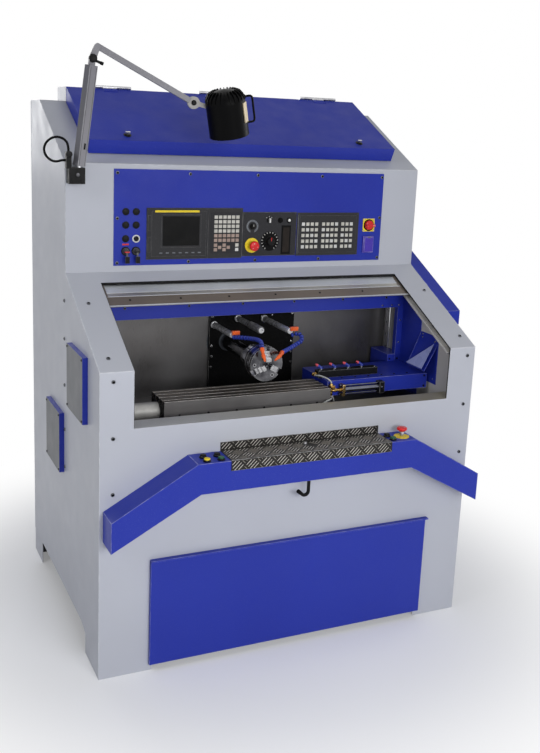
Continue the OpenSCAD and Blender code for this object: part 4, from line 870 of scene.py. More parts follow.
class KEYCUT_OT_plate(bpy.types.Operator):
    """Blue control plate with its plugs, rings, switch plate and socket cover"""
    bl_idname = "keycut.plate"
    bl_label = "Control plate"

    def execute(self, context):
        bm = bmesh.new()
        face_block(bm, PLATE_X, 24, 1176, 368, -3, 0)
        soften(bm, 0.8, 30.0, 3)
        place_piece("Control_plate_sheet", bm, ["plate_coat"], "control_plate")
        bm = bmesh.new()
        for x in PLUG_XS:
            for z in PLUG_ZS:
                if (x, z) != (PLUG_XS[1], PLUG_ZS[2]):
                    turned(bm, on_face(x, z), OUT_FACE,
                           [(0, 4.4), (8, 4.2), (11.2, 3.0), (11.6, 2.2), (14, 1.8), (14.2, 0.0)], 36)
        add_trim("Blanking_plugs", bm, ["black_plastic"], "control_plate")
        bm = bmesh.new()
        turned(bm, on_face(PLUG_XS[1], PLUG_ZS[2]), OUT_FACE,
               [(10.2, 0), (15.4, 0), (15.2, 4.2), (14, 5.6), (11.4, 5.6), (10.2, 4.6), (10.2, 0)], 40)
        add_trim("Button_ring", bm, ["white_plastic"], "control_plate")
        bm = bmesh.new()
        for x in PLUG_XS:
            turned(bm, on_face(x, 80), OUT_FACE,
                   [(13.2, 0), (17, 0), (17, 3.0), (15.8, 4.6), (13.2, 4.6), (13.2, 0)], 40)
            turned(bm, on_face(x, 80), OUT_FACE,
                   [(9.3, 0), (13.1, 0), (13.1, 4.4), (12.4, 5.2), (9.3, 5.2), (9.3, 0)], 40, 2)
        face_block(bm, PLUG_XS[0] - 13, 103, 26, 6, 0, 1.2, 1)
        soften(bm, 0.4, 60.0, 2)
        add_trim("Key_rings_and_tag", bm, ["black_plastic", "red_plastic", "dark_steel"],
                 "control_plate")
        bm = bmesh.new()
        face_block(bm, SWITCH[0] - 28.5, SWITCH[1] - 27.5, 57, 55, 0, 2.9, 0)
        soften(bm, 1.6, 30.0, 3)
        for dx in (-24, 24):
            for dz in (-23, 23):
                socket_screw(bm, on_face(SWITCH[0] + dx, SWITCH[1] + dz, 2.9), OUT_FACE, 2.6, 1.0, 1, 2)
        turned(bm, on_face(*SWITCH, 2.9), OUT_FACE,
               [(20.7, 0), (20.7, 1.8), (24.4, 1.8), (25, 1.2), (25, 0)], 48, 2)
        add_trim("Switch_plate", bm, ["yellow_plastic", "bright_steel", "socket_dark"], "control_plate")
        bm = bmesh.new()
        face_block(bm, SWITCH[0] - 25, 58, 50, 70, 0, 9, 0)
        face_block(bm, SWITCH[0] - 22, 62, 44, 62, 9, 14, 0)
        face_block(bm, SWITCH[0] - 7, 121, 14, 5, 9, 15.5, 1)
        soften(bm, 1.8, 30.0, 3)
        add_trim("Socket_cover", bm, ["violet_cover", "dark_coat"], "control_plate")
        return {"FINISHED"}


class KEYCUT_OT_units(bpy.types.Operator):
    """Screen and keyboard unit, dial panel and operator key panel"""
    bl_idname = "keycut.units"
    bl_label = "Control units"

    def execute(self, context):
        x, z, w, h = SCREEN
        bm = bmesh.new()
        face_block(bm, x, z, 252, h, -42, 4.0, 0)
        face_block(bm, x + 253, z, w - 253, h, -42, 3.4, 0)
        face_block(bm, x + 20, z + 12, 224, h - 24, 4.0, 5.0, 0)
        face_block(bm, x + 58, z + 46, 164, 129, 5.0, 6.6, 0)
        face_block(bm, x + 5, z + 28, 12, 60, 4.0, 5.4, 0)
        face_block(bm, x + 5, z + 112, 12, 60, 4.0, 5.4, 0)
        soften(bm, 0.8, 30.0, 2)
        face_block(bm, x + 64, z + 53, 151, 115, 5.9, 6.7, 1)
        face_block(bm, x + 262, z + 20, 130, 164, 3.4, 4.2, 2)
        face_block(bm, x + 33, z + 183, 181, 8.0, 4.9, 5.9, 3)
        for k in range(7):
            face_block(bm, x + 52 + 26.5 * k, z + 23, 12, 4, 5.0, 6.0, 6)
        for dx, dz in ((6, 6), (246, 6), (6, 194), (246, 194), (394, 6), (394, 194)):
            socket_screw(bm, on_face(x + dx, z + dz, 3.9), OUT_FACE, 2.6, 1.2, 4, 5)
        place_piece("Screen_unit", bm, ["unit_coat", "screen_glass", "face_coat", "yellow_plastic",
                                        "dark_coat", "socket_dark", "grey_plastic"], "control_units")
        x, z, w, h = SUB
        bm = bmesh.new()
        face_block(bm, x, z, w, h, -42, 3.6, 0)
        soften(bm, 0.8, 30.0, 2)
        face_block(bm, x + 174, z + 6, 41, 118, 3.6, 5.0, 1)
        face_block(bm, x + 180, z + 14, 29, 102, 5.0, 5.5, 2)
        for dx in (166, 206):
            turned(bm, on_face(x + dx, MODE[1], 3.6), OUT_FACE,
                   [(11, 0), (11, 2.5), (9.6, 3.4), (8.6, 2.6), (0, 2.4)], 32, 1)
            turned(bm, on_face(x + dx, MODE[1], 3.6), OUT_FACE, [(6, 2), (6, 5.0), (4.8, 6), (0, 6)], 28,
                   3 if dx > 180 else 1)
        turned(bm, on_face(*OVERRIDE, 3.6), OUT_FACE,
               [(13, 0.3), (20.8, 0.3), (21.4, 0.7), (39.2, 0.7), (40, 0.2), (40, -0.4)], 64, 1)
        ticks(bm, on_face(*OVERRIDE, 4.2), OUT_FACE, UP, 32.5, 38.0, 15, 290.0, 2.3, 3)
        turned(bm, on_face(*DIAL, 3.6), OUT_FACE,
               [(19, 0), (19, 1.2), (25.4, 1.2), (26, 0.6), (26, 0)], 52, 4)
        ticks(bm, on_face(*DIAL, 4.7), OUT_FACE, UP, 20.5, 24.6, 17, 280.0, 1.0, 1)
        face_block(bm, DIAL[0] - 9, DIAL[1] - 28, 18, 12.5, 3.4, 5.3, 0)
        ticks(bm, on_face(*MODE, 3.6), OUT_FACE, UP, 13, 17.5, 3, 90.0, 1.6, 3)
        turned(bm, on_face(*STOP, 3.6), OUT_FACE, [(0, 3.2), (28, 3.2), (29.8, 2.2), (30.2, 0)], 48, 5)
        for dx, dz in ((6, 6), (235, 6), (6, 172), (235, 172)):
            socket_screw(bm, on_face(x + dx, z + dz, 3.5), OUT_FACE, 2.6, 1.2, 6, 1)
        add_trim("Dial_panel", bm, ["face_coat", "socket_dark", "screen_brown", "white_plastic",
                                    "grey_plastic", "yellow_plastic", "dark_coat"], "control_units")
        x, z, w, h = KEYS
        bm = bmesh.new()
        face_block(bm, x, z, w, h, -42, 4.0, 0)
        face_block(bm, x + 12, z + 12, w - 24, h - 24, 4.0, 4.6, 0)
        face_block(bm, x + 4, z + 9, 1.6, h - 18, 3.6, 4.7, 1)
        soften(bm, 0.7, 30.0, 2)
        for dx, dz in ((6, 6), (w - 6, 6), (6, h - 6), (w - 6, h - 6)):
            socket_screw(bm, on_face(x + dx, z + dz, 3.9), OUT_FACE, 2.6, 1.2, 2, 3)
        add_trim("Key_panel", bm, ["unit_coat", "grey_plastic", "dark_coat", "socket_dark"],
                 "control_units")
        self.keys()
        return {"FINISHED"}

    def keys(self):
        """Key caps with raised rims and dished tops."""
        caps = []
        x0 = SCREEN[0] + 278
        for c in range(6):
            for r in range(6):
                caps.append((x0 + 18.5 * c, 111.5 + 18.5 * r, 14, 13, 0 if r > 1 else 1))
        for dx, z, kind in ((0, 92, 1), (0, 74, 1), (18, 83, 1), (37, 92, 1), (37, 74, 1), (55, 83, 1),
                            (92, 92, 0), (92, 74, 2)):
            caps.append((x0 + dx, z, 14, 13, kind))
        for g in range(3):
            for c in range(4 if g < 2 else 3):
                for r in range(5):
                    x = KEYS[0] + 21 + (0, 94, 185)[g] + 20.5 * c
                    caps.append((x, 80 + 23.5 * r, 13.5, 13.5, 0 if (c + r + g) % 4 else 2))
        bm = bmesh.new()
        for x, z, w, h, kind in caps:
            out = 4.6 if x > KEYS[0] else 4.2
            verts = face_block(bm, x, z, w, h, out - 0.6, out + 1.6, kind)
            top = [f for f in {f for v in verts for f in v.link_faces} if f.normal.dot(OUT_FACE) > 0.9]
            bmesh.ops.inset_region(bm, faces=top, thickness=1.2 * MM, depth=0.5 * MM)
            bmesh.ops.inset_region(bm, faces=top, thickness=1.0 * MM, depth=-0.5 * MM)
        place_piece("Key_caps_set", bm, ["key_light", "key_brown", "key_white"], "key_caps")


class KEYCUT_OT_knobs(bpy.types.Operator):
    """Main switch, knobs, keys and push buttons of the control face"""
    bl_idname = "keycut.knobs"
    bl_label = "Knobs and buttons"

    def execute(self, context):
        bm = bmesh.new()
        c = on_face(*SWITCH, 3.0)
        turned(bm, c, OUT_FACE, [(0, 0.3), (20, 0.3), (20, 5), (18.6, 8), (15, 9.5), (0, 9.5)], 44, 0)
        rod(bm, c - OUT_FACE * 0.020, c, SHAFT_R, slot=1)
        block(bm, c + Vector((-0.020, -0.0235, -0.005)), c + Vector((0.020, -0.006, 0.005)), 0)
        block(bm, c + Vector((0.009, -0.0241, -0.0012)), c + Vector((0.018, -0.0225, 0.0012)), 2)
        soften(bm, 1.4, 50.0, 3)
        place_piece("Main_switch_handle", bm, ["red_plastic", "bright_steel", "white_plastic"],
                    "main_switch")

        bm = bmesh.new()
        c = on_face(*OVERRIDE, 4.0)
        turned(bm, c, OUT_FACE,
               [(0, 0.3), (20, 0.3), (20, 3), (17.5, 4.5), (16, 15), (14, 17.5), (0, 17.5)], 48, 0)
        for k in range(20):
            arm = Matrix.Rotation(math.tau * k / 20, 3, OUT_FACE) @ UP
            rod(bm, c + arm * 0.0172 + OUT_FACE * 0.0040, c + arm * 0.0158 + OUT_FACE * 0.0155, 1.3,
                sides=8, slot=0)
        rod(bm, c - OUT_FACE * 0.020, c + OUT_FACE * 0.001, SHAFT_R, slot=1)
        slab(bm, c + OUT_FACE * 0.0172 - EAST * 0.0012 + UP * 0.002, EAST * 0.0024, UP * 0.014,
             OUT_FACE * 0.0014, 2)
        place_piece("Override_grip", bm, ["black_plastic", "bright_steel", "red_plastic"],
                    "override_knob")

        bm = bmesh.new()
        c = on_face(*DIAL, 4.0)
        turned(bm, c, OUT_FACE,
               [(0, 0.3), (12, 0.3), (12, 2), (10.4, 3), (9.6, 12), (8, 13.6), (0, 13.6)], 40, 0)
        rod(bm, c - OUT_FACE * 0.020, c + OUT_FACE * 0.001, SHAFT_R, slot=1)
        slab(bm, c + OUT_FACE * 0.0132 - EAST * 0.0008, EAST * 0.0016, UP * 0.0085, OUT_FACE * 0.0012, 2)
        place_piece("Feed_grip", bm, ["black_plastic", "bright_steel", "white_plastic"], "feed_dial")

        bm = bmesh.new()
        c = on_face(*MODE, 4.0)
        turned(bm, c, OUT_FACE, [(0, 0.3), (10, 0.3), (10, 3.5), (8.5, 5), (0, 5)], 36, 0)
        rod(bm, c - OUT_FACE * 0.020, c + OUT_FACE * 0.001, SHAFT_R, slot=1)
        block(bm, c + Vector((-0.0028, -0.0138, -0.009)), c + Vector((0.0028, -0.004, 0.009)), 2)
        soften(bm, 0.8, 60.0, 2)
        place_piece("Mode_grip", bm, ["black_plastic", "bright_steel", "white_plastic"], "mode_knob")

        for node, x, grip in (("key_switch_left", PLUG_XS[0], "red_plastic"),
                              ("key_switch_right", PLUG_XS[1], "black_plastic")):
            bm = bmesh.new()
            c = on_face(x, 80, 5.0)
            turned(bm, c, OUT_FACE, [(0, 0.3), (9, 0.3), (9, 5.5), (7.6, 7), (0, 7)], 36, 0)
            rod(bm, c - OUT_FACE * 0.020, c + OUT_FACE * 0.001, SHAFT_R, slot=0)
            block(bm, c + Vector((-0.004, -0.0148, -0.001)), c + Vector((0.004, -0.006, 0.001)), 0)
            block(bm, c + Vector((-0.009, -0.0270, -0.0022)), c + Vector((0.009, -0.0140, 0.0022)), 1)
            block(bm, c + Vector((-0.0022, -0.0212, -0.020)), c + Vector((0.0030, -0.0190, -0.002)), 0)
            block(bm, c + Vector((-0.0070, -0.0225, -0.044)), c + Vector((0.0100, -0.0175, -0.018)), 2)
            soften(bm, 0.7, 60.0, 2)
            turned(bm, c + Vector((0.0, -0.0205, -0.0005)), NORTH,
                   [(6.2, 0), (7.6, 0.6), (6.2, 1.2), (5.4, 0.6), (6.2, 0)], 24, 0)
            place_piece(node.capitalize() + "_key", bm, ["dark_steel", grip, "black_plastic"], node)

        bm = bmesh.new()
        c = on_face(PLUG_XS[1], PLUG_ZS[2], 5.0)
        turned(bm, c, OUT_FACE, [(0, 0.0), (9, 0.0), (9, 2.6), (8, 3.7), (3, 3.3), (0, 3.2)], 36, 0)
        rod(bm, c - OUT_FACE * 0.024, c + OUT_FACE * 0.001, SHAFT_R, slot=1)
        place_piece("Round_button", bm, ["black_plastic", "bright_steel"], "panel_button")

        stop_button("Face_stop_button", "panel_stop", on_face(*STOP, 13.0), OUT_FACE, 8, 26)
        return {"FINISHED"}


def stop_button(name, node, base, out, stem, depth):
    """A mushroom stop button with its stem, and arrow ridges on the head."""
    bm = bmesh.new()
    turned(bm, base, out, [(0, stem), (10, stem), (14, stem + 3.6), (19.4, stem + 7), (20, stem + 9),
                           (20, stem + 13), (19, stem + 15.4), (16.4, stem + 17.2), (9, stem + 18.2),
                           (0, stem + 18.5)], 48, 0)
    turned(bm, base, out, [(0, 0), (9, 0), (9, stem - 2), (8, stem + 0.5), (0, stem + 0.5)], 36, 1)
    rod(bm, base - out * (depth * MM), base + out * MM, SHAFT_R, slot=1)
    side = out.orthogonal().normalized()
    for k in range(3):
        arm = Matrix.Rotation(math.tau * k / 3, 3, out) @ side
        across = out.cross(arm)
        slab(bm, base + out * ((stem + 17.4) * MM) + arm * 0.0075 - across * 0.0007, across * 0.0014,
             arm * 0.0065, out * 0.0008, 2)
    place_piece(name, bm, ["red_plastic", "bright_steel", "white_plastic"], node)


# ---------- bent and jointed shapes ----------


def tube(bm, points, r, sides, slot):
    """A round bar bent along points, grown ring by ring, its radius in millimetres."""
    way = (points[1] - points[0]).normalized()
    place = Matrix.Translation(points[0]) @ way.to_track_quat("Z", "Y").to_matrix().to_4x4()
    made = bmesh.ops.create_circle(bm, cap_ends=True, segments=sides, radius=r * MM,
                                   matrix=place)["verts"]
    face, every = made[0].link_faces[0], list(made)
    for i in range(1, len(points)):
        ahead = points[min(i + 1, len(points) - 1)] - points[i - 1]
        turn = way.rotation_difference(ahead.normalized()).to_matrix()
        made = bmesh.ops.extrude_face_region(bm, geom=[face])["geom"]
        face = [g for g in made if isinstance(g, bmesh.types.BMFace)][0]
        bmesh.ops.rotate(bm, verts=face.verts, cent=points[i - 1], matrix=turn)
        bmesh.ops.translate(bm, verts=face.verts, vec=points[i] - points[i - 1])
        every.extend(face.verts)
        way = ahead.normalized()
    paint_outwards(bm, every, slot)


def smooth_line(points, step):
    """Points about a step apart, in millimetres, on the smooth curve through the given ones."""
    dense, last = [], len(points) - 1
    for i in range(last):
        a, b, c, d = points[max(i - 1, 0)], points[i], points[i + 1], points[min(i + 2, last)]
        for k in range(24):
            t = k / 24
            dense.append((2 * b + (c - a) * t + (2 * a - 5 * b + 4 * c - d) * t ** 2
                          + (3 * b - a - 3 * c + d) * t ** 3) / 2)
    dense.append(points[-1])
    total = sum((q - p).length for p, q in zip(dense, dense[1:]))
    count = max(2, round(total / (step * MM)))
    placed, walked = [dense[0]], 0.0
    for p, q in zip(dense, dense[1:]):
        gap = (q - p).length
        while len(placed) < count and walked + gap >= total * len(placed) / count:
            placed.append(p.lerp(q, (total * len(placed) / count - walked) / gap))
        walked += gap
    return placed + [dense[-1]]


def jointed_hose(bm, points, bead, slot):
    """Ball-and-socket hose: one turned bead after another along the route, with a dark neck rod in the creases between
    beads as painted shade.
    """
    line = smooth_line(points, bead)
    for p, q in zip(line, line[1:]):
        long = (q - p).length / MM
        turned(bm, p, q - p, [(0, 0), (5.4, 0), (7.8, long * 0.1), (8.8, long * 0.24),
                              (8.8, long * 0.38), (7.6, long * 0.52), (5.0, long * 0.62),
                              (0, long * 0.62)], 20, slot)
        rod(bm, p, q, 4.4, sides=16, slot=slot + 2)


def hex_nut(bm, place, axis, r, h, slot=0):
    """A six-sided nut with chamfered corners."""
    rod(bm, place, place + axis * (h * MM), r, sides=6, slot=slot)
    turned(bm, place, axis, [(0, -0.4), (r * 0.84, -0.4), (r * 0.9, 0.6), (r * 0.9, h - 0.6),
                             (r * 0.84, h + 0.4), (0, h + 0.4)], 24, slot)


# ---------- work area ----------

INNER_LEFT, INNER_RIGHT = 60.0, CABINET_W - 60.0
BACK_Y = 600.0
SPINDLE = (700.0, 190.0, 1075.0)
SEAT_Y = BACK_Y - 12.0
ARM_X0, ARM_Z = 983.0, 981.0
END_PLATE_X, TABLE_X, TABLE_SIDE_Z = 281.9, 284.0, 940.0


class KEYCUT_OT_interior(bpy.types.Operator):
    """Steel walls, tray and sill, blue portal, vertical guides and parts chute"""
    bl_idname = "keycut.interior"
    bl_label = "Work area"

    def execute(self, context):
        fold, edge = sheet_edges(context.scene)
        # Faces turned to the sides take the lighter steel, as painted light on the side walls
        dressed("work_liner", "Liner_walls", ["wall_steel", "side_steel"], edge,
                pick=lambda p, n: int(abs(n.x) > 0.5))
        sill = lambda e: all(near(v, z=934.0, y=92.0) for v in e.verts)
        dressed("chip_tray", "Tray_and_sill", ["wall_steel", "sill_steel"], fold,
                lambda p, n: int(p[2] > 930.0 or p[1] < 91.0), test=sill, steps=4, clamp=False)
        dressed("portal_frame", "Portal_weldment", ["blue_coat"], 1.2)
        dressed("chute", "Parts_chute", ["blue_coat", "chute_coat"], edge, more=self.wear_plate)

        bm = bmesh.new()
        for y in (490.0, 560.0):
            outline = [(0, -9), (0, 9), (4, 9), (6, 7.2), (8.5, 7.2), (10.5, 9), (14, 9), (14, -9),
                       (10.5, -9), (8.5, -7.2), (6, -7.2), (4, -9)]
            outline_plate(bm, [at(1456 + a, y + b, 870) for a, b in outline], UP * 0.347, 0)
        soften(bm, 0.5, 40.0, 2)
        for y in (490.0, 560.0):
            for k in range(6):
                z = 898 + 58 * k
                turned(bm, at(1456, y, z), -EAST,
                       [(0, 0.12), (4.6, 0.12), (4.6, 0.4), (5.6, 0.4), (5.8, 0)], 24, 1)
                turned(bm, at(1456, y, z), -EAST, [(0, 0.3), (2.4, 0.3), (2.6, 0)], 6, 2)
        place_piece("Profile_guides", bm, ["chrome", "bright_steel", "socket_dark"], "linear_guides")

        bm = bmesh.new()
        for x, y in ((1444, 450), (1360, 450), (1408, 450), (1444, 466), (86, 450), (130, 450)):
            for z in (1228, 1300) if x < 1440 else (1228,):
                socket_screw(bm, at(x, y, z), OUT_FACE, 4.0, 2.6)
        for z in (898, 956, 1060, 1160):
            for x in (INNER_LEFT + 15, INNER_RIGHT - 15):
                socket_screw(bm, at(x, 450, z), OUT_FACE, 4.2, 2.6)
        for y, z in ((190, 1120), (284, 1120), (190, 960), (284, 1134)):
            socket_screw(bm, at(INNER_RIGHT - 2, y, z), -EAST, 3.6, 2.0)
        add_trim("Portal_screws", bm, ["bright_steel", "socket_dark"], "portal_frame")
        return {"FINISHED"}

    def wear_plate(self, bm):
        """Three-cornered lighter plate on the chute's ramp, painted light where the ramp is lit."""
        foot, head = at(1410, 0, 1002), at(1468, 0, 1112)
        out = NORTH.cross(head - foot).normalized()
        if out.x > 0:
            out.negate()
        deck = max(f.calc_center_median().dot(out) for f in bm.faces if f.normal.dot(out) > 0.98)
        corners = [(1412, 293, 1006), (1412, 176, 1006), (1466, 176, 1108)]
        points = [p + out * (deck - p.dot(out) - 0.0002) for p in (at(*c) for c in corners)]
        outline_plate(bm, points, out * 0.0010, 1)


class KEYCUT_OT_spindle(bpy.types.Operator):
    """Black spindle plate, three-jaw chuck with its jaws, and the spindle drive"""
    bl_idname = "keycut.spindle"
    bl_label = "Spindle and chuck"

    def execute(self, context):
        bm = copy_of("spindle_plate")
        soften(bm, 0.8, 30.0, 2, lambda e: e.calc_length() > 0.1)
        for face in bm.faces:
            y = (face.calc_center_median().y - FRONT) / MM
            r = max(((v.co - face.calc_center_median()).length for v in face.verts)) / MM
            # The smallest faces in front of the seat take the near-black finish, as painted shade in sockets and holes
            face.material_index = (2 if r < 3.2 else 1) if y < SEAT_Y - 0.8 else 0
        for x, z in ((852, 1176), (902, 1180), (872, 1158), (912, 1150)):
            turned(bm, at(x, SEAT_Y, z), OUT_FACE,
                   [(0, 2.6), (2.6, 2.6), (4.2, 1.8), (4.4, -0.2)], 20, 1)
        place_piece("Spindle_plate", bm, ["black_plate", "bright_steel", "socket_dark"], "spindle_plate")

        axis = at(*SPINDLE)
        bm = copy_of("chuck")
        soften(bm, 0.9, 35.0, 2)
        front = [f for f in bm.faces if abs((f.calc_center_median().y - axis.y) / MM) < 0.3]
        for f in front:
            f.material_index = 1
        for k in range(3):
            arm = Matrix.Rotation(math.radians(60 + 120 * k), 3, OUT_FACE) @ EAST
            hole = axis + arm * 0.050
            turned(bm, hole, OUT_FACE,
                   [(0, -0.2), (4.4, -0.2), (4.4, 0.25), (6.4, 0.25), (6.8, -0.4)], 24, 2)
            # Hexagon socket in near black, as painted shade in the recess
            turned(bm, hole, OUT_FACE, [(0, 0.12), (4.2, 0.12), (4.3, -0.2)], 6, 3)
            side = axis + arm * 0.067 + NORTH * 0.034
            turned(bm, side, arm, [(0, 0.15), (5.4, 0.15), (5.4, 0.5), (8.4, 0.5), (9.0, -0.6)], 28, 0)
            # Square socket in near black, as painted shade
            rod(bm, side - arm * 0.001, side + arm * 0.0003, 5.2, sides=4, slot=3)
        for y in (14.0, 46.0):
            turned(bm, axis + NORTH * (y * MM), NORTH,
                   [(67.0, 0), (67.3, 0.3), (67.3, 2.2), (67.0, 2.5), (66, 1.2), (67.0, 0)], 96, 2)
        place_piece("Chuck_body", bm, ["chuck_steel", "turned_face", "bright_steel", "socket_dark"],
                    "chuck", crease=30.0)
        for k, turn in ((1, 90.0), (2, 210.0), (3, 330.0)):
            node = "chuck_jaw_%d" % k
            bm = copy_of(node)
            soften(bm, 0.7, 30.0, 2)
            arm = Matrix.Rotation(math.radians(turn), 3, OUT_FACE) @ EAST
            across = OUT_FACE.cross(arm)
            for t in (-1, 1):
                for j in range(5):
                    tooth = axis + arm * ((14.6 + 2.6 * j) * MM) + OUT_FACE * 0.0198
                    tooth += across * (t * 0.0111)
                    rod(bm, tooth - across * (t * 0.0075), tooth, 0.55, sides=8, slot=0)
            socket_screw(bm, axis + arm * 0.0345 + OUT_FACE * 0.0098, OUT_FACE, 3.6, 1.4, 0, 1)
            socket_screw(bm, axis + arm * 0.0465 - OUT_FACE * 0.0002, OUT_FACE, 3.4, 1.3, 0, 1)
            place_piece("Chuck_jaw_%d_steps" % k, bm, ["bright_steel", "socket_dark"], node)
        dressed("spindle_drive", "Headstock_and_motor", ["cast_iron", "dark_steel"], 2.0,
                lambda p, n: int(p[1] > 885.0 or p[2] > 1216.0), test=lambda e: e.calc_length() > 0.03)
        return {"FINISHED"}


class KEYCUT_OT_coolant(bpy.types.Operator):
    """Coolant posts with their taps, jointed hoses and nozzles"""
    bl_idname = "keycut.coolant"
    bl_label = "Coolant lines"

    def execute(self, context):
        x0, _, z0 = SPINDLE
        spot = lambda p: at(x0 + p[0], p[1], z0 + p[2])
        bm = bmesh.new()
        posts = {"left": (-64, 75, 205), "middle": (43, 97, 245), "right": (164, 91, 258)}
        for x, z, long in posts.values():
            turned(bm, spot((x, SEAT_Y, z)), OUT_FACE,
                   [(0, -2), (15.5, -2), (15.5, 6), (14, 8), (12, 8.6), (12, long - 2),
                    (10.5, long - 0.3), (5.2, long - 0.3), (5.2, long - 6), (0, long - 6)], 40, 0)
        x, z, long = posts["middle"]
        ribs = [(12.1, 0)]
        for k in range(9):
            ribs += [(15.4, 1 + 12 * k), (15.4, 7 + 12 * k), (12.8, 8.2 + 12 * k), (12.8, 11.8 + 12 * k)]
        turned(bm, spot((x, SEAT_Y - long + 112, z)), OUT_FACE, ribs + [(12.1, 110)], 36, 1)
        for key, (x, z, long) in posts.items():
            if key == "middle":
                continue
            dx = -4 if key == "left" else -2
            wide = 32 if key == "left" else 34
            y = SEAT_Y - long
            block(bm, spot((x + dx, y - 8, z + 2)), spot((x + dx + wide, y + 6, z + 18)), 2)
            body = spot((x + dx + wide / 2, y - 1, z + 18))
            soften(bm, 1.6, 60.0, 2, lambda e, b=body: all((v.co - b).length < 0.026
                                                           and abs(v.co.z - b.z) < 0.017
                                                           for v in e.verts) and e.calc_length() > 0.012)
            turned(bm, spot((x + 3, y - 8, z + 10)), OUT_FACE,
                   [(0, 0), (5.2, 0), (5.2, 2), (4, 3), (0, 3)], 24, 2)
            block(bm, spot((x + 1.6, y - 13, z + 5)), spot((x + 4.4, y - 10.8, z + 20)), 2)
        place_piece("Coolant_posts", bm, ["post_steel", "sleeve_grey", "orange_plastic"],
                    "coolant_lines")

        bead = context.scene.keycut_sizes.bead / MM
        routes = (("left", [(-60, 384, 67), (-46, 340, 75), (-28, 296, 80), (-18, 250, 85),
                            (-20, 206, 85), (-30, 172, 69)],
                            [(-30, 172, 69), (-31, 156, 47), (-24, 152, 23)]),
                            ("right", [(168, 330, 75), (196, 312, 83), (190, 278, 65), (150, 254, 53),
                                       (108, 224, 47), (64, 190, 44)],
                                       [(64, 190, 44), (44, 166, 38), (16, 150, 25)]))
        for side, route, tip in routes:
            bm = bmesh.new()
            jointed_hose(bm, [spot(p) for p in route], bead, 0)
            a, b, c = (spot(p) for p in tip)
            long = (b - a).length / MM
            turned(bm, a, b - a, [(0, -2), (7.8, -2), (8.6, 0), (8.6, long * 0.3), (7.0, long * 0.36),
                                  (5.6, long * 0.9), (5.6, long), (0, long)], 28, 1)
            long = (c - b).length / MM
            turned(bm, b, c - b, [(0, -4), (5.8, -4), (7.6, -1), (7.8, long * 0.2), (6.4, long * 0.42),
                                  (3.4, long * 0.98), (3.0, long), (1.8, long), (1.8, long - 4),
                                  (0, long - 4)], 28, 1)
            add_trim("Coolant_hose_" + side, bm, ["hose_blue", "orange_plastic", "hose_neck"],
                     "coolant_lines")
        return {"FINISHED"}


class KEYCUT_OT_table(bpy.types.Operator):
    """Slotted table with its bed and the telescopic cover of its screw"""
    bl_idname = "keycut.table"
    bl_label = "Slotted table"

    def execute(self, context):
        bm = copy_of("slotted_table")
        soften(bm, 0.8, 30.0, 2)
        for face in bm.faces:
            x, _, z = placed(face.calc_center_median())
            if x < END_PLATE_X:
                face.material_index = 2
            elif x < TABLE_X + 1.0:
                face.material_index = 3
            else:
                face.material_index = 0 if z > TABLE_SIDE_Z else 1
        for y, z in ((179.0, 948.0), (303.0, 948.0), (179.0, 914.0), (303.0, 914.0)):
            socket_screw(bm, at(TABLE_X, y, z), -EAST, 5.0, 3.0, 4, 5)
        for k in range(6):
            socket_screw(bm, at(TABLE_X + 60 + 114 * k, 165.0, 912.0), OUT_FACE, 4.4, 1.4, 4, 5)
        place_piece("Slotted_table_top", bm,
                    ["table_top", "table_side", "cover_steel", "black_plate", "black_screw",
                     "socket_dark"], "slotted_table")
        dressed("table_bed", "Table_bed_casting", ["cast_iron"], 1.5)
        dressed("screw_cover", "Screw_cover_sleeve", ["cover_steel"], 1.0, crease=30.0)
        return {"FINISHED"}


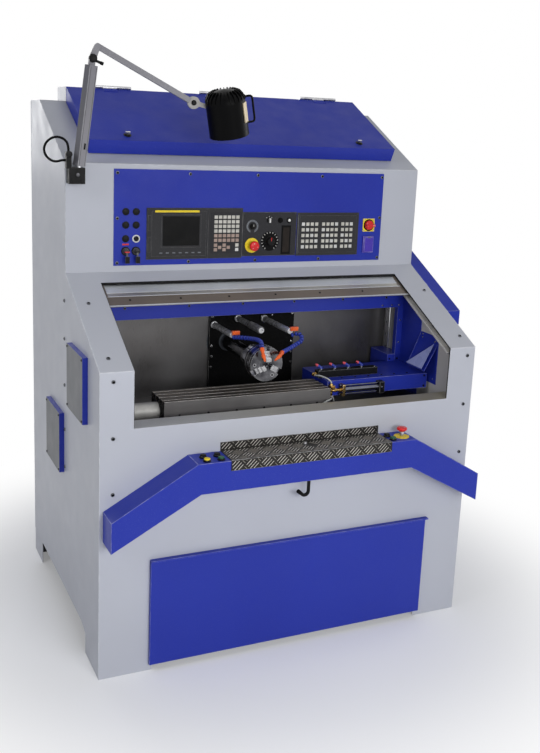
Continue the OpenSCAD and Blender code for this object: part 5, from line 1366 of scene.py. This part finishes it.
class KEYCUT_OT_carriage(bpy.types.Operator):
    """Tool carriage with its nozzle block, mist unit and fittings"""
    bl_idname = "keycut.carriage"
    bl_label = "Tool carriage"

    def execute(self, context):
        dressed("tool_carriage", "Carriage_casting", ["blue_coat"], 1.4,
                test=lambda e: e.calc_length() > 0.012)
        bm = bmesh.new()
        for k in range(6):
            socket_screw(bm, at(1062 + 62 * k, 240, ARM_Z), UP, 4.0, 2.4)
        for z in (928, 972):
            socket_screw(bm, at(1440, 212, z), OUT_FACE, 4.6, 2.6)
        for x in (1408, 1446):
            for z in (921, 990):
                socket_screw(bm, at(x, 440, z), OUT_FACE, 4.0, 2.4)
        add_trim("Carriage_screws", bm, ["black_screw", "socket_dark"], "tool_carriage")

        bm = bmesh.new()
        x0, y0, long = ARM_X0 - 17.0, 262.0, 276.0
        block(bm, at(x0, y0, ARM_Z), at(x0 + long, y0 + 36, ARM_Z + 29), 0)
        soften(bm, 1.6, 30.0, 3)
        for k in range(5):
            socket_screw(bm, at(x0 + 10 + 64 * k, y0 + 9, ARM_Z + 29), UP, 3.4, 2.2, 3, 4)
        lean = Matrix.Rotation(math.radians(-20), 3, "Z") @ Matrix.Rotation(math.radians(-60), 3, "Y")
        for k in range(4):
            foot = at(x0 + 22 + 63 * k, y0 + 22, ARM_Z + 29)
            hex_nut(bm, foot, UP, 8.0, 4.0, 3)
            turned(bm, foot, UP, [(6.4, 3.8), (6.8, 5), (6.8, 9.5), (5.4, 12.6), (0, 13.4)], 28, 1)
            way = (lean @ UP).normalized()
            start = foot + UP * 0.009
            turned(bm, start, way,
                   [(0, 0), (5.2, 0), (5.4, 9), (6.2, 10), (6.2, 15), (5.2, 16.4), (0, 16.6)], 24, 1)
            turned(bm, start, way, [(5.2, 15.8), (5.9, 17), (5.6, 21), (3.4, 26.4), (2.6, 27.8),
                                    (1.2, 27.8), (1.2, 24), (0, 24)], 24, 2)
        place_piece("Nozzle_block_bar", bm, ["black_plastic", "hose_blue", "nozzle_red", "bright_steel",
                                             "socket_dark"], "nozzle_block")

        bm = bmesh.new()
        mx0, mx1, mz, my = ARM_X0 + 51.0, ARM_X0 + 243.0, ARM_Z - 35.0, 195.0
        turned(bm, at(mx0 + 12, my, mz), EAST,
               [(0, 0), (12, 0), (12, 3), (11.2, 4), (11.2, 156), (12, 157), (12, 162), (0, 162)], 40, 0)
        for s in (-17, 17):
            rod(bm, at(mx0 + 12, my, mz + s), at(mx1 - 18, my, mz + s), 3.0, sides=20, slot=0)
            hex_nut(bm, at(mx0 - 4.5, my, mz + s), EAST, 5.0, 4.2, 0)
        block(bm, at(mx1 - 20, my - 17, mz - 24), at(mx1 + 4, 212, mz + 24), 1)
        block(bm, at(mx0, my - 17, mz - 24), at(mx0 + 14, 212, mz + 24), 2)
        soften(bm, 2.4, 60.0, 3, lambda e: e.calc_length() > 0.0138)
        turned(bm, at(mx1 - 8, my - 17, mz), OUT_FACE, [(0, 1.0), (4, 1.0), (5.2, 0.6), (5.4, 0)], 24, 0)
        turned(bm, at(mx0, my, mz), -EAST, [(0, 40), (4, 40), (5.4, 38), (5.4, 30), (7, 29), (7, 20),
                                            (5.6, 19), (5.6, 9), (7.6, 8), (7.6, 0), (0, 0)], 28, 2)
        hex_nut(bm, at(mx0 - 20, my, mz), -EAST, 8.0, 7.0, 2)
        foot = at(mx0 - 44, my, mz - 20)
        turned(bm, foot, UP,
               [(0, 0), (5.4, 0), (7.2, 3), (7.2, 14), (6, 16), (6, 34), (7.6, 36), (7.6, 46), (5, 50),
                (0, 50)], 28, 2)
        hex_nut(bm, foot + UP * 0.017, UP, 8.0, 8.0, 2)
        block(bm, at(ARM_X0 + 2, my - 8, mz + 6), at(ARM_X0 + 22, 212, mz + 22), 2)
        soften(bm, 1.0, 80.0, 2,
               lambda e: 0.0125 < e.calc_length() < 0.027
               and all(v.co.x < at(1006, 0, 0).x for v in e.verts))
        turned(bm, at(ARM_X0 + 12, my - 8, mz + 14), OUT_FACE,
               [(5.6, 0), (5.6, 4), (4.4, 5), (4.4, 9), (0, 9)], 24, 2)
        place_piece("Mist_unit", bm, ["mist_steel", "black_plastic", "brass"], "mist_fittings")
        bm = bmesh.new()
        runs = ([(ARM_X0 + 7, my, mz - 20), (ARM_X0 + 4, my - 14, mz - 25),
                 (ARM_X0 - 14, my - 38, mz - 23), (ARM_X0 - 40, my - 50, mz - 27),
                 (ARM_X0 - 68, my - 56, mz - 40), (ARM_X0 - 82, my - 58, mz - 56),
                 (ARM_X0 - 72, my - 57, mz - 67), (ARM_X0 - 46, my - 55, mz - 64),
                 (ARM_X0 - 14, my - 50, mz - 56), (ARM_X0 + 8, my - 30, mz - 46),
                 (ARM_X0 + 22, my + 5, mz - 36), (ARM_X0 + 28, my + 28, mz - 26)],
                 [(ARM_X0 + 7, my, mz + 29), (ARM_X0 + 5, my - 2, mz + 37),
                  (ARM_X0 - 6, my + 10, mz + 48), (ARM_X0 - 22, my + 40, mz + 53),
                  (ARM_X0 - 29, my + 58, mz + 50), (ARM_X0 - 31, my + 70, mz + 49)])
        for run in runs:
            tube(bm, smooth_line([at(*p) for p in run], 5.0), 3.2, 14, 0)
        elbow = at(ARM_X0 - 31, my + 70, mz + 49)
        turned(bm, elbow, NORTH,
               [(0, 0), (4.6, 0), (5.8, 2), (5.8, 9), (7, 10), (7, 18), (0, 18)], 24, 1)
        turned(bm, elbow + NORTH * 0.014, EAST,
               [(0, -6), (6.4, -6), (6.4, 4), (5.2, 5), (5.2, 15), (0, 15)], 24, 1)
        hex_nut(bm, elbow + NORTH * 0.014 + EAST * 0.005, EAST, 8.0, 5.0, 1)
        add_trim("Mist_hoses", bm, ["clear_hose", "brass"], "mist_fittings")
        return {"FINISHED"}


# ---------- console ----------

BAR_Z = 819.0
BUTTONS = ((360, -46, "black_plastic"), (360, -86, "yellow_plastic"), (413, -46, "black_plastic"),
           (413, -86, "green_plastic"), (1116, -42, "black_plastic"), (1118, -84, "green_plastic"))
CONSOLE_STOP = (1172, -58)
TREAD_X, TREAD_W = 443.0, 656.0


class KEYCUT_OT_console(bpy.types.Operator):
    """Console bar with its buttons, stop button and hook"""
    bl_idname = "keycut.console"
    bl_label = "Console bar"

    def execute(self, context):
        fold, _ = sheet_edges(context.scene)
        bm = copy_of("console_bar")
        top = (BAR_Z + 0.4) * MM
        soften(bm, fold * 0.7, 20.0, 3,
               lambda e: e.calc_length() > 0.06 and all(v.co.z < top for v in e.verts), clamp=False)
        rings = [f for f in bm.faces if f.calc_center_median().z > top]
        for f in rings:
            near_stop = (f.calc_center_median() - at(*CONSOLE_STOP, BAR_Z)).length < 0.034
            f.material_index = 2 if near_stop else 1
        for x, y, _ in BUTTONS:
            turned(bm, at(x, y, BAR_Z + 3), UP,
                   [(14, -0.6), (13.2, 0.8), (12.2, 1.0), (11.8, 0.4), (11.8, -0.6), (14, -0.6)], 36, 1)
        place_piece("Console_bar_sheet", bm, ["bar_coat", "black_plastic", "yellow_plastic"],
                    "console_bar")
        for k, (x, y, colour) in enumerate(BUTTONS):
            node = "console_button_%d" % (k + 1)
            bm = bmesh.new()
            base = at(x, y, BAR_Z + 3 + 4 + 0.5)
            turned(bm, base, UP,
                   [(0, 0.0), (11, 0.0), (11, 3.2), (10.2, 4.4), (8.4, 5.0), (0, 4.7)], 36, 0)
            rod(bm, base - UP * 0.024, base + UP * 0.0005, SHAFT_R, slot=1)
            place_piece("Console_cap_%d" % (k + 1), bm, [colour, "bright_steel"], node)
        stop_button("Console_stop_button", "console_stop", at(*CONSOLE_STOP, BAR_Z + 8), UP, 12, 26)
        self.hook()
        return {"FINISHED"}

    def hook(self):
        """Bent round bar with a collar and a rubber end."""
        low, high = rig.box("bar_hook")
        x, y, z = placed(Vector((high.x - 0.011, (low.y + high.y) / 2, high.z)))
        bm = bmesh.new()
        line = [at(x, y, z), at(x, y, z - 20), at(x, y, z - 61)]
        for k in range(1, 14):
            a = math.radians(10 * k)
            line.append(at(x - 15 + 15 * math.cos(a), y, z - 61 - 15 * math.sin(a)))
        way = Vector((-math.sin(a), 0.0, -math.cos(a)))
        grip = line[-1] + way * 0.012
        tube(bm, line + [grip, grip + way * 0.014], 6.6, 20, 0)
        turned(bm, grip, way, [(0, -2), (6.8, -2), (7.6, 0), (7.6, 12), (6.4, 14.2), (0, 14.8)], 24, 1)
        turned(bm, at(x, y, z), -UP,
               [(0, 0), (11, 0), (11, 5), (9, 8), (7.4, 8.6), (7.4, 15), (0, 15)], 32, 0)
        place_piece("Bar_hook_bend", bm, ["black_plastic", "black_rubber"], "bar_hook")


class KEYCUT_OT_tread(bpy.types.Operator):
    """Tray of tread plate on the console bar"""
    bl_idname = "keycut.tread"
    bl_label = "Tread plate tray"

    def execute(self, context):
        bm = copy_of("tread_tray")
        soften(bm, 1.6, 30.0, 3, lambda e: e.calc_length() > 0.5)
        bolt = at(TREAD_X + TREAD_W / 2, -30, BAR_Z + 3)
        for f in bm.faces:
            c = f.calc_center_median() - bolt
            f.material_index = 1 if math.hypot(c.x, c.y) < 0.009 and c.z > 0.0003 else 0
        top = BAR_Z + 3
        self.bars(bm, at(TREAD_X, -108, top), NORTH, UP, 101, 5)
        self.bars(bm, at(TREAD_X, -111, top - 40), UP, OUT_FACE, 38, -11)
        self.bars(bm, at(TREAD_X, -3, top), UP, OUT_FACE, 30, -15)
        place_piece("Tread_plate_tray", bm, ["tread_base", "bright_steel", "tread_bar", "tread_dim"],
                    "tread_tray")
        return {"FINISHED"}

    def bars(self, bm, corner, across, out, deep, first):
        """Raised bars in fours on a leaning chequer, cut off at the edges of the sheet; the bars are painted far
        lighter than the base as highlight, and one lean dimmer as painted shade.
        """
        step, reach, pitch, rim, r = 29.8, 18.0, 10.4, 2.0, math.sqrt(0.5)
        bolt = (TREAD_W / 2, 78.0) if deep > 100 else (-99.0, -99.0)
        for col in range(24):
            lean = 1 if col % 2 else -1
            way = (EAST + across * lean) * r
            side = out.cross(way)
            for row in range(-1 + (col + 1) % 2, 6, 2):
                for k in range(4):
                    shift = (k - 1.5) * pitch * r
                    x, y = step * col - 9.0 - lean * shift, first + step * row + shift
                    rise = sorted(((rim - y) * lean / r, (deep - rim - y) * lean / r))
                    low = max(-reach, (rim - x) / r, rise[0])
                    high = min(reach, (TREAD_W - rim - x) / r, rise[1])
                    past = ((bolt[0] - x) - (bolt[1] - y) * lean) * r
                    at_bolt = abs(past) < 11.0 and math.hypot(bolt[0] - x, bolt[1] - y) < 30.0
                    if high - low < 5.0 or at_bolt:
                        continue
                    place = Matrix((way, side, out)).transposed().to_4x4()
                    middle = way * ((low + high) / 2 * MM)
                    place.translation = corner + EAST * (x * MM) + across * (y * MM) + middle
                    flat_up = Matrix.Rotation(math.radians(22.5), 4, "Z")
                    shape = Matrix.Diagonal((1.4 * MM, 1.4 * MM, 1.3 * MM, 1.0)) @ flat_up
                    made = bmesh.ops.create_cone(bm, cap_ends=True, segments=8, radius1=1.0, radius2=0.6,
                                                 depth=1.0, matrix=place @ shape)["verts"]
                    half = ((high - low) / 2 - 1.5) * MM
                    for v in made:
                        v.co += way * math.copysign(half, (v.co - place.translation).dot(way))
                    # Bars leaning one way take the painted highlight, the others the painted shade
                    tell(made, 2 if lean > 0 else 3)


class KEYCUT_OT_sides(bpy.types.Operator):
    """Coolant tank, service covers, side housing, panel screws and base frame"""
    bl_idname = "keycut.sides"
    bl_label = "Tank and side fittings"

    def execute(self, context):
        _, edge = sheet_edges(context.scene)
        dressed("coolant_tank", "Tank_sheets", ["bar_coat", "satin_steel"], edge * 1.6,
                lambda p, n: int(p[2] > 100.0 and p[1] > -1.0 or p[1] > 12.0),
                test=lambda e: e.calc_length() > 0.01)
        dressed("side_covers", "Service_covers", ["blue_coat", "cover_coat", "black_screw"], edge * 1.6,
                pick=lambda p, n: 2 if p[0] < -20.2 else 1 if p[0] < -16.8 else 0)
        # The side housing takes the duller blue, as painted shade
        dressed("side_housing", "Door_housing", ["top_coat"], 1.6)
        bm = bmesh.new()
        for x in (48.0, CABINET_W - 37.0):
            for drop in (438, 235, 34):
                cap_screw(bm, at(x, 0, FRONT_H - drop), OUT_FACE)
        for x in (47.0, CABINET_W - 36.0):
            for u in (70, 379):
                cap_screw(bm, on_slope(x, u), OUT_SLOPE)
        for drop in (770, 617, 437, 254, 106):
            cap_screw(bm, at(0, 520, FACE_LOW - drop), -EAST)
            cap_screw(bm, at(CABINET_W, 520, FACE_LOW - max(drop, 136)), EAST)
        for x in (14, 303, 590, 880, 1166):
            for z in (35, 377):
                cap_screw(bm, on_face(PLATE_X + x, z), OUT_FACE, 6.5, 2.6)
        for x in (14, 1166):
            cap_screw(bm, on_face(PLATE_X + x, 206), OUT_FACE, 6.5, 2.6)
        for share in (0.14, 0.31, 0.46, 0.61, 0.76, 0.9):
            cap_screw(bm, at(CABINET_W * share, 450, 1263), OUT_FACE, 5.6, 3.0)
        place_piece("Panel_screws_set", bm, ["screw_rim", "socket_dark"], "panel_screws")
        dressed("base_frame", "Frame_tubes", ["frame_steel"], 1.0)
        return {"FINISHED"}


def cap_screw(bm, place, out, r=7.0, h=4.0):
    """A button head with a near-black disc in its socket as painted shade, in a bright rim."""
    turned(bm, place, out,
           [(0, h * 0.45), (r * 0.62, h * 0.45), (r * 0.66, h), (r * 0.86, h * 0.92), (r, h * 0.5),
            (r, -0.3)], 28, 0)
    turned(bm, place, out, [(0, h * 0.5), (r * 0.6, h * 0.5), (r * 0.655, h * 0.96)], 28, 1)


# ---------- lamp ----------

SHOULDER = at(45.0, 477.0, 1795.0)
LAMP_TURN = Matrix.Rotation(math.radians(-8.0), 3, "Z")
LEAN = math.radians(7.0)
ELBOW = Vector((384.0 * math.sin(LEAN), 0.0, 384.0 * math.cos(LEAN)))
DROP = math.radians(27.0)
BEND = ELBOW + Vector((18.0, 0.0, 44.0))
TIP = BEND + Vector((398.0 * math.cos(DROP), 0.0, -398.0 * math.sin(DROP)))
HEAD_R, HEAD_HALF = 76.0, 88.0
PIN_R, DISC_R = 9.0, 23.5


def by_lamp(p):
    """A point in millimetres from the shoulder, along the lamp's arms."""
    return SHOULDER + LAMP_TURN @ (Vector(p) * MM)


def lamp_way(p):
    """A direction given in the lamp's own frame."""
    return (LAMP_TURN @ Vector(p)).normalized()


class KEYCUT_OT_lamp(bpy.types.Operator):
    """Work lamp: base, square lower arm, bent upper arm and cable"""
    bl_idname = "keycut.lamp"
    bl_label = "Work lamp arms"

    def execute(self, context):
        dressed("lamp_base", "Lamp_base_block", ["black_plastic", "chrome"], 1.4,
                lambda p, n: int(p[2] > 1790.2 and p[0] > 30.0 and p[0] < 60.0),
                test=lambda e: e.calc_length() > 0.015)
        bm = bmesh.new()
        turned(bm, at(38, 466, 1764), OUT_FACE, [(0, 3.4), (4, 3.4), (6.5, 3), (7, 2), (7, 0)], 28, 3)
        socket_screw(bm, at(20, 466, 1742), OUT_FACE, 4.2, 2.6, 2, 1)
        socket_screw(bm, at(52, 466, 1742), OUT_FACE, 4.2, 2.6, 2, 1)
        knob = at(2, 452, 1838)
        turned(bm, knob + NORTH * 0.0145, OUT_FACE,
               [(0, 0), (7, 0), (7, 11.5), (11, 12.5), (12, 15.5), (12, 21), (10, 24), (0, 25)], 32, 2)
        turned(bm, at(6, 477, 1828), UP,
               [(0, -4), (10.5, -4), (10.5, 5), (8.5, 6), (8.5, 14.4), (5.4, 16.6), (4.7, 18)], 28, 2)
        add_trim("Lamp_base_fittings", bm,
                 ["bright_steel", "socket_dark", "black_plastic", "dark_steel"], "lamp_base")

        bm = copy_of("lamp_lower_arm")
        soften(bm, 1.6, 40.0, 3, lambda e: e.calc_length() > 0.2)
        top = by_lamp(ELBOW)
        for f in bm.faces:
            v = LAMP_TURN.inverted() @ (f.calc_center_median() - top) / MM
            black = abs(v.y) > 10.3 and v.length < 60.0 and v.z > -24.0
            # Faces turned to the left take the darker copy of the arm grey, as painted shade
            f.material_index = 2 if black else int(f.normal.x < -0.4)
        place_piece("Lamp_lower_arm_profile", bm, ["arm_light", "arm_shade", "black_plastic"],
                    "lamp_lower_arm")
        bm = bmesh.new()
        spin = Matrix.Rotation(LEAN, 3, "Y") @ Matrix.Rotation(math.radians(28.0), 3, "Z")
        lower = lambda x, y, z: by_lamp(spin @ Vector((x, y, z)))
        out = lamp_way(spin @ Vector((0, -1, 0)))
        rise = lamp_way(spin @ Vector((0, 0, 1)))
        wide = lamp_way(spin @ Vector((1, 0, 0)))
        for x in (-12.5, 11.0):
            slab(bm, lower(x, -17.0, 4), wide * 0.0015, rise * 0.350, out * 0.0007, 0)
        slab(bm, lower(-1.0, -17.0, 62), wide * 0.007, rise * 0.022, out * 0.0012, 1)
        turned(bm, by_lamp(ELBOW + Vector((0, -29.5, 0))), lamp_way((0, -1, 0)),
               [(0, 3.2), (9, 3.2), (12.4, 2.2), (14.6, 0)], 36, 1)
        lie = Matrix.Rotation(math.radians(110), 3, "Y")
        end = by_lamp(ELBOW + Vector((0, 26, 0)) + lie @ Vector((0, 0, 44)))
        turned(bm, end, lamp_way(lie @ UP),
               [(0, -12), (5.3, -12), (6.4, -8), (6.4, 0), (4.6, 1.6), (0, 2.0)], 24, 1)
        add_trim("Lamp_elbow_grips", bm, ["arm_dark", "black_plastic"], "lamp_lower_arm")

        bm = copy_of("lamp_upper_arm")
        bend, cross = by_lamp(BEND), lamp_way((0, 1, 0))
        soften(bm, 8.0, 20.0, 5, lambda e: all((v.co - bend).length < 0.024 for v in e.verts)
               and abs((e.verts[0].co - e.verts[1].co).normalized().dot(cross)) > 0.9, clamp=False)
        soften(bm, 1.8, 40.0, 3, lambda e: e.calc_length() > 0.015)
        tip = by_lamp(TIP)
        for f in bm.faces:
            v = LAMP_TURN.inverted() @ (f.calc_center_median() - tip) / MM
            off = math.hypot(v.x, v.z)
            f.material_index = 1 if abs(v.y) > 8.3 and off < PIN_R else 2 if off < DISC_R else 0
        turned(bm, by_lamp(TIP + Vector((0, -8, 0))), lamp_way((0, -1, 0)),
               [(10, 0), (9.4, 2.2), (0, 2.6)], 32, 1)
        turned(bm, by_lamp(TIP + Vector((0, -8, 0))), lamp_way((0, -1, 0)),
               [(23, -0.4), (21.6, 0.9), (15, 0.9), (14.2, 0.2), (10, 0.2)], 44, 2)
        place_piece("Lamp_upper_arm_bar", bm, ["arm_light", "black_plastic", "disc_grey"],
                    "lamp_upper_arm")

        loop = [(6, 51.4), (6, 63), (1, 83), (-14, 97), (-36, 102), (-58, 95), (-75, 78), (-81, 57),
                (-75, 36), (-58, 20), (-38, 15), (-20, 19), (-4.4, 20)]
        bm = bmesh.new()
        tube(bm, smooth_line([at(x, 477, 1795 + z) for x, z in loop], 5.0), 4.5, 16, 0)
        place_piece("Lamp_cable_loop", bm, ["black_rubber"], "lamp_cable")
        self.head()
        return {"FINISHED"}

    def head(self):
        """Ribbed shade with its rim, lens, yoke and side handle."""
        spin = Matrix.Rotation(math.radians(-12.0), 3, "Y") @ Matrix.Rotation(math.radians(10.0), 3, "X")
        middle = TIP + Vector((128.0, 0.0, -30.0))
        spot = lambda x, y, z: by_lamp(middle + spin @ Vector((x, y, z)))
        way = lambda x, y, z: lamp_way(spin @ Vector((x, y, z)))
        up, r, h = way(0, 0, 1), HEAD_R, HEAD_HALF
        bm = bmesh.new()
        turned(bm, spot(0, 0, 0), up, [(0, h - 1), (r * 0.3, h - 3), (r * 0.62, h - 9),
                                       (r * 0.82, h - 18), (r * 0.94, h - 30), (r - 1.0, h - 44),
                                       (r - 0.6, h - 50), (r - 0.6, -h + 9), (r, -h + 7), (r, -h + 1),
                                       (r - 1, -h), (r - 3, -h), (r - 3.4, -h + 4), (r - 5, -h + 10),
                                       (0, -h + 12)], 72, 0)
        for k in range(24):
            arm = Matrix.Rotation(math.tau * k / 24, 3, "Z") @ Vector((1, 0, 0))
            points = [(r * 0.50, h - 9), (r * 0.62, h - 2.2), (r * 0.80, h - 8.5), (r * 0.93, h - 21),
                      (r - 0.2, h - 34), (r - 0.2, h - 46), (r * 0.88, h - 46)]
            side = Vector((0, 0, 1)).cross(arm) * 1.4
            outline_plate(bm, [spot(*(arm * a + Vector((0, 0, b)) - side)) for a, b in points],
                          way(*side) * (2 * side.length * MM), 0)
        turned(bm, spot(0, 0, -h + 8), -up,
               [(0, 0), (r - 6, 0), (r - 6, 3.2), (r - 8, 4.2), (0, 4.4)], 64, 1)
        for z in (-48, 48):
            turned(bm, spot(r - 3, 0, z), way(1, 0, 0), [(0, 0), (9, 0), (9, 4), (7, 6), (0, 6)], 24, 0)
        tube(bm, smooth_line([spot(*p) for p in ((r, 0, 48), (r + 16, 0, 48.5), (r + 26, 0, 46),
                                                 (r + 30, 0, 36), (r + 30, 0, 0), (r + 30, 0, -38),
                                                 (r + 26, 0, -48), (r + 16, 0, -50), (r, 0, -48))],
                                                 6.0), 4.2, 16, 0)
        # A metal plate on the side of the shade, its light beige standing in for the reflection there, as painted
        # reflection
        arm = Matrix.Rotation(math.radians(-36), 3, "Z")
        slab(bm, spot(*(arm @ Vector((r - 6, -16, -38)))), way(*(arm @ EAST)) * 0.0074,
             way(*(arm @ NORTH)) * 0.032, up * 0.074, 2)
        yoke = TIP + Vector((0, 16, 0))
        turned(bm, by_lamp(yoke - Vector((0, 4, 0))), lamp_way((0, 1, 0)),
               [(6.1, 0), (14.6, 0), (16, 1.2), (16, 6.8), (14.6, 8), (6.1, 8), (6.1, 0)], 40, 3)
        outline_plate(bm, [by_lamp(TIP + Vector(p))
                           for p in ((13, 12, 9.5), (60, 12, -5.5), (66, 12, -10), (66, 12, -18),
                                     (60, 12, -22), (13, 12, -9.5))], lamp_way((0, 1, 0)) * 0.008, 3)
        place_piece("Lamp_head_shade", bm, ["lamp_black", "lamp_glass", "lamp_tag", "disc_grey"],
                    "lamp_head")


# ---------- stage ----------


def soft_lamp(name, place, aim, size, power, shine=True):
    """A large soft lamp that looks at a point, mirrored in metal and glass or not."""
    data = bpy.data.lights.new(name, "AREA")
    data.shape = "RECTANGLE"
    data.size, data.size_y = size
    data.energy = power
    lamp = bpy.data.objects.new(name, data)
    lamp.location = place
    lamp.visible_glossy = shine
    lamp.rotation_euler = (Vector(aim) - Vector(place)).to_track_quat("-Z", "Y").to_euler()
    bpy.context.scene.collection.objects.link(lamp)


def seen_directly(tree):
    """1 for rays that come from the view, from a reflection or through glass."""
    path = tree.nodes.new("ShaderNodeLightPath")
    total = None
    for ray in ("Is Camera Ray", "Is Glossy Ray", "Is Transmission Ray"):
        if total is None:
            total = path.outputs[ray]
            continue
        node = tree.nodes.new("ShaderNodeMath")
        node.operation = "MAXIMUM"
        tree.links.new(total, node.inputs[0])
        tree.links.new(path.outputs[ray], node.inputs[1])
        total = node.outputs[0]
    return total


def white_world(strength):
    """Even light from all round, and plain white where it is looked at."""
    world = bpy.data.worlds.new("Studio")
    bpy.context.scene.world = world
    world.use_nodes = True
    tree = world.node_tree
    plain = tree.nodes["Background"]
    plain.inputs["Color"].default_value = (0.94, 0.96, 1.0, 1.0)
    plain.inputs["Strength"].default_value = strength
    seen = tree.nodes.new("ShaderNodeBackground")
    seen.inputs["Color"].default_value = WHITE
    mix = tree.nodes.new("ShaderNodeMixShader")
    tree.links.new(seen_directly(tree), mix.inputs[0])
    tree.links.new(plain.outputs[0], mix.inputs[1])
    tree.links.new(seen.outputs[0], mix.inputs[2])
    tree.links.new(mix.outputs[0], tree.nodes["World Output"].inputs["Surface"])


def pale_floor(size):
    """A pale floor that takes the shadow near the machine and fades to white further out."""
    bm = bmesh.new()
    bmesh.ops.create_grid(bm, x_segments=2, y_segments=2, size=size)
    mesh = bpy.data.meshes.new("Studio_floor")
    bm.to_mesh(mesh)
    bm.free()
    floor = bpy.data.objects.new("Studio_floor", mesh)
    floor.location = (0.0, 0.0, -0.0005)
    bpy.context.scene.collection.objects.link(floor)
    paint = bpy.data.materials.new("Studio_floor")
    paint.use_nodes = True
    tree = paint.node_tree
    ground = tree.nodes["Principled BSDF"]
    ground.inputs["Base Color"].default_value = (0.82, 0.83, 0.87, 1.0)
    ground.inputs["Roughness"].default_value = 0.9
    ground.inputs["Specular IOR Level"].default_value = 0.1
    glow = tree.nodes.new("ShaderNodeEmission")
    glow.inputs["Color"].default_value = WHITE
    place = tree.nodes.new("ShaderNodeTexCoord")
    length = tree.nodes.new("ShaderNodeVectorMath")
    length.operation = "LENGTH"
    tree.links.new(place.outputs["Object"], length.inputs[0])
    fade = tree.nodes.new("ShaderNodeMapRange")
    fade.interpolation_type = "SMOOTHERSTEP"
    fade.inputs["From Min"].default_value = 0.75
    fade.inputs["From Max"].default_value = 1.9
    fade.inputs["To Min"].default_value = 0.2
    tree.links.new(length.outputs["Value"], fade.inputs["Value"])
    amount = tree.nodes.new("ShaderNodeMath")
    amount.operation = "MULTIPLY"
    tree.links.new(fade.outputs["Result"], amount.inputs[0])
    tree.links.new(seen_directly(tree), amount.inputs[1])
    mix = tree.nodes.new("ShaderNodeMixShader")
    tree.links.new(amount.outputs[0], mix.inputs[0])
    tree.links.new(ground.outputs[0], mix.inputs[1])
    tree.links.new(glow.outputs[0], mix.inputs[2])
    tree.links.new(mix.outputs[0], tree.nodes["Material Output"].inputs["Surface"])
    mesh.materials.append(paint)
    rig.stage(floor)


class KEYCUT_OT_stage(bpy.types.Operator):
    """Floor, soft lamps, white surround and the camera"""
    bl_idname = "keycut.stage"
    bl_label = "Stage and camera"

    def execute(self, context):
        scene = context.scene
        scene.view_settings.view_transform = "Standard"
        data = bpy.data.cameras.new("View")
        data.sensor_width = 36.0
        data.lens = 45.436
        data.shift_x = -0.00297
        data.shift_y = -0.06151
        camera = bpy.data.objects.new("View", data)
        camera.location = (-1.53706, -3.52706, 1.98361)
        camera.rotation_euler = [math.radians(a) for a in (77.6229, -2.471, -24.5926)]
        scene.collection.objects.link(camera)
        scene.camera = camera
        white_world(0.2)
        soft_lamp("Front_lamp", (0.6, -5.2, 2.5), (0.1, 0.0, 0.9), (3.2, 2.0), 68)
        soft_lamp("Window_lamp", (-0.4, -3.2, 1.5), (0.25, 0.0, 1.05), (1.4, 0.6), 32, shine=False)
        soft_lamp("Left_lamp", (-4.4, -1.2, 3.8), (-0.5, 0.0, 1.7), (2.0, 1.8), 52, shine=False)
        soft_lamp("Top_lamp", (0.4, -1.4, 4.6), (0.0, 0.0, 1.0), (3.0, 3.0), 6)
        soft_lamp("Back_lamp", (-0.8, 5.2, 2.6), (0.0, 0.0, 1.1), (3.2, 2.2), 84)
        soft_lamp("Right_lamp", (4.8, 0.4, 2.4), (0.0, 0.0, 1.1), (2.2, 2.0), 40)
        pale_floor(30.0)
        return {"FINISHED"}


# ---------- panel and run ----------


class KeycutColours(bpy.types.PropertyGroup):
    """Colours that a user would change"""
    cabinet_grey: bpy.props.FloatVectorProperty(
        name="Cabinet grey", description="Powder coat of the cabinet", subtype="COLOR",
        default=tone(186, 189, 198)[:3], min=0.0, max=1.0)
    trim_blue: bpy.props.FloatVectorProperty(
        name="Trim blue", description="Powder coat of the lid, plate, bar and tank", subtype="COLOR",
        default=tone(36, 52, 160)[:3], min=0.0, max=1.0)


class KeycutSizes(bpy.types.PropertyGroup):
    """Sizes that a user would change"""
    edge: bpy.props.FloatProperty(
        name="Edge rounding", description="Rounding of cut sheet edges", default=0.0007,
        min=0.0002, max=0.0015, subtype="DISTANCE", unit="LENGTH")
    fold: bpy.props.FloatProperty(
        name="Fold rounding", description="Outside rounding of folded sheet corners", default=0.0025,
        min=0.001, max=0.004, subtype="DISTANCE", unit="LENGTH")
    bead: bpy.props.FloatProperty(
        name="Hose bead", description="Length of one bead of the jointed hoses", default=0.016,
        min=0.01, max=0.022, subtype="DISTANCE", unit="LENGTH")


class KEYCUT_PT_panel(bpy.types.Panel):
    """Lists the sizes, the colours and the steps"""
    bl_label = "Key cutting centre"
    bl_idname = "KEYCUT_PT_panel"
    bl_space_type = "VIEW_3D"
    bl_region_type = "UI"
    bl_category = "Key cutting"

    def draw(self, context):
        for group in (context.scene.keycut_sizes, context.scene.keycut_colours):
            for name in group.bl_rna.properties.keys():
                if name not in ("rna_type", "name"):
                    self.layout.prop(group, name)
        for step in STEPS:
            self.layout.operator(step.bl_idname)


STEPS = [value for key, value in list(globals().items()) if key.startswith("KEYCUT_OT_")]
CLASSES = [KeycutColours, KeycutSizes, *STEPS, KEYCUT_PT_panel]


def register():
    for item in CLASSES:
        bpy.utils.register_class(item)
    bpy.types.Scene.keycut_colours = bpy.props.PointerProperty(type=KeycutColours)
    bpy.types.Scene.keycut_sizes = bpy.props.PointerProperty(type=KeycutSizes)


def unregister():
    del bpy.types.Scene.keycut_sizes
    del bpy.types.Scene.keycut_colours
    for item in reversed(CLASSES):
        bpy.utils.unregister_class(item)


def main():
    register()
    for step in STEPS:
        call = getattr(bpy.ops.keycut, step.bl_idname.split(".")[1])
        if "FINISHED" not in call():
            raise RuntimeError(step.bl_label + " did not finish")
    low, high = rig.bounds()
    sizes = {"cad": [list(CAD_BOX[0]), list(CAD_BOX[1])], "visual": [list(low), list(high)]}
    with open("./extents.json", "w") as out:
        json.dump(sizes, out)


if __name__ == "__main__":
    main()
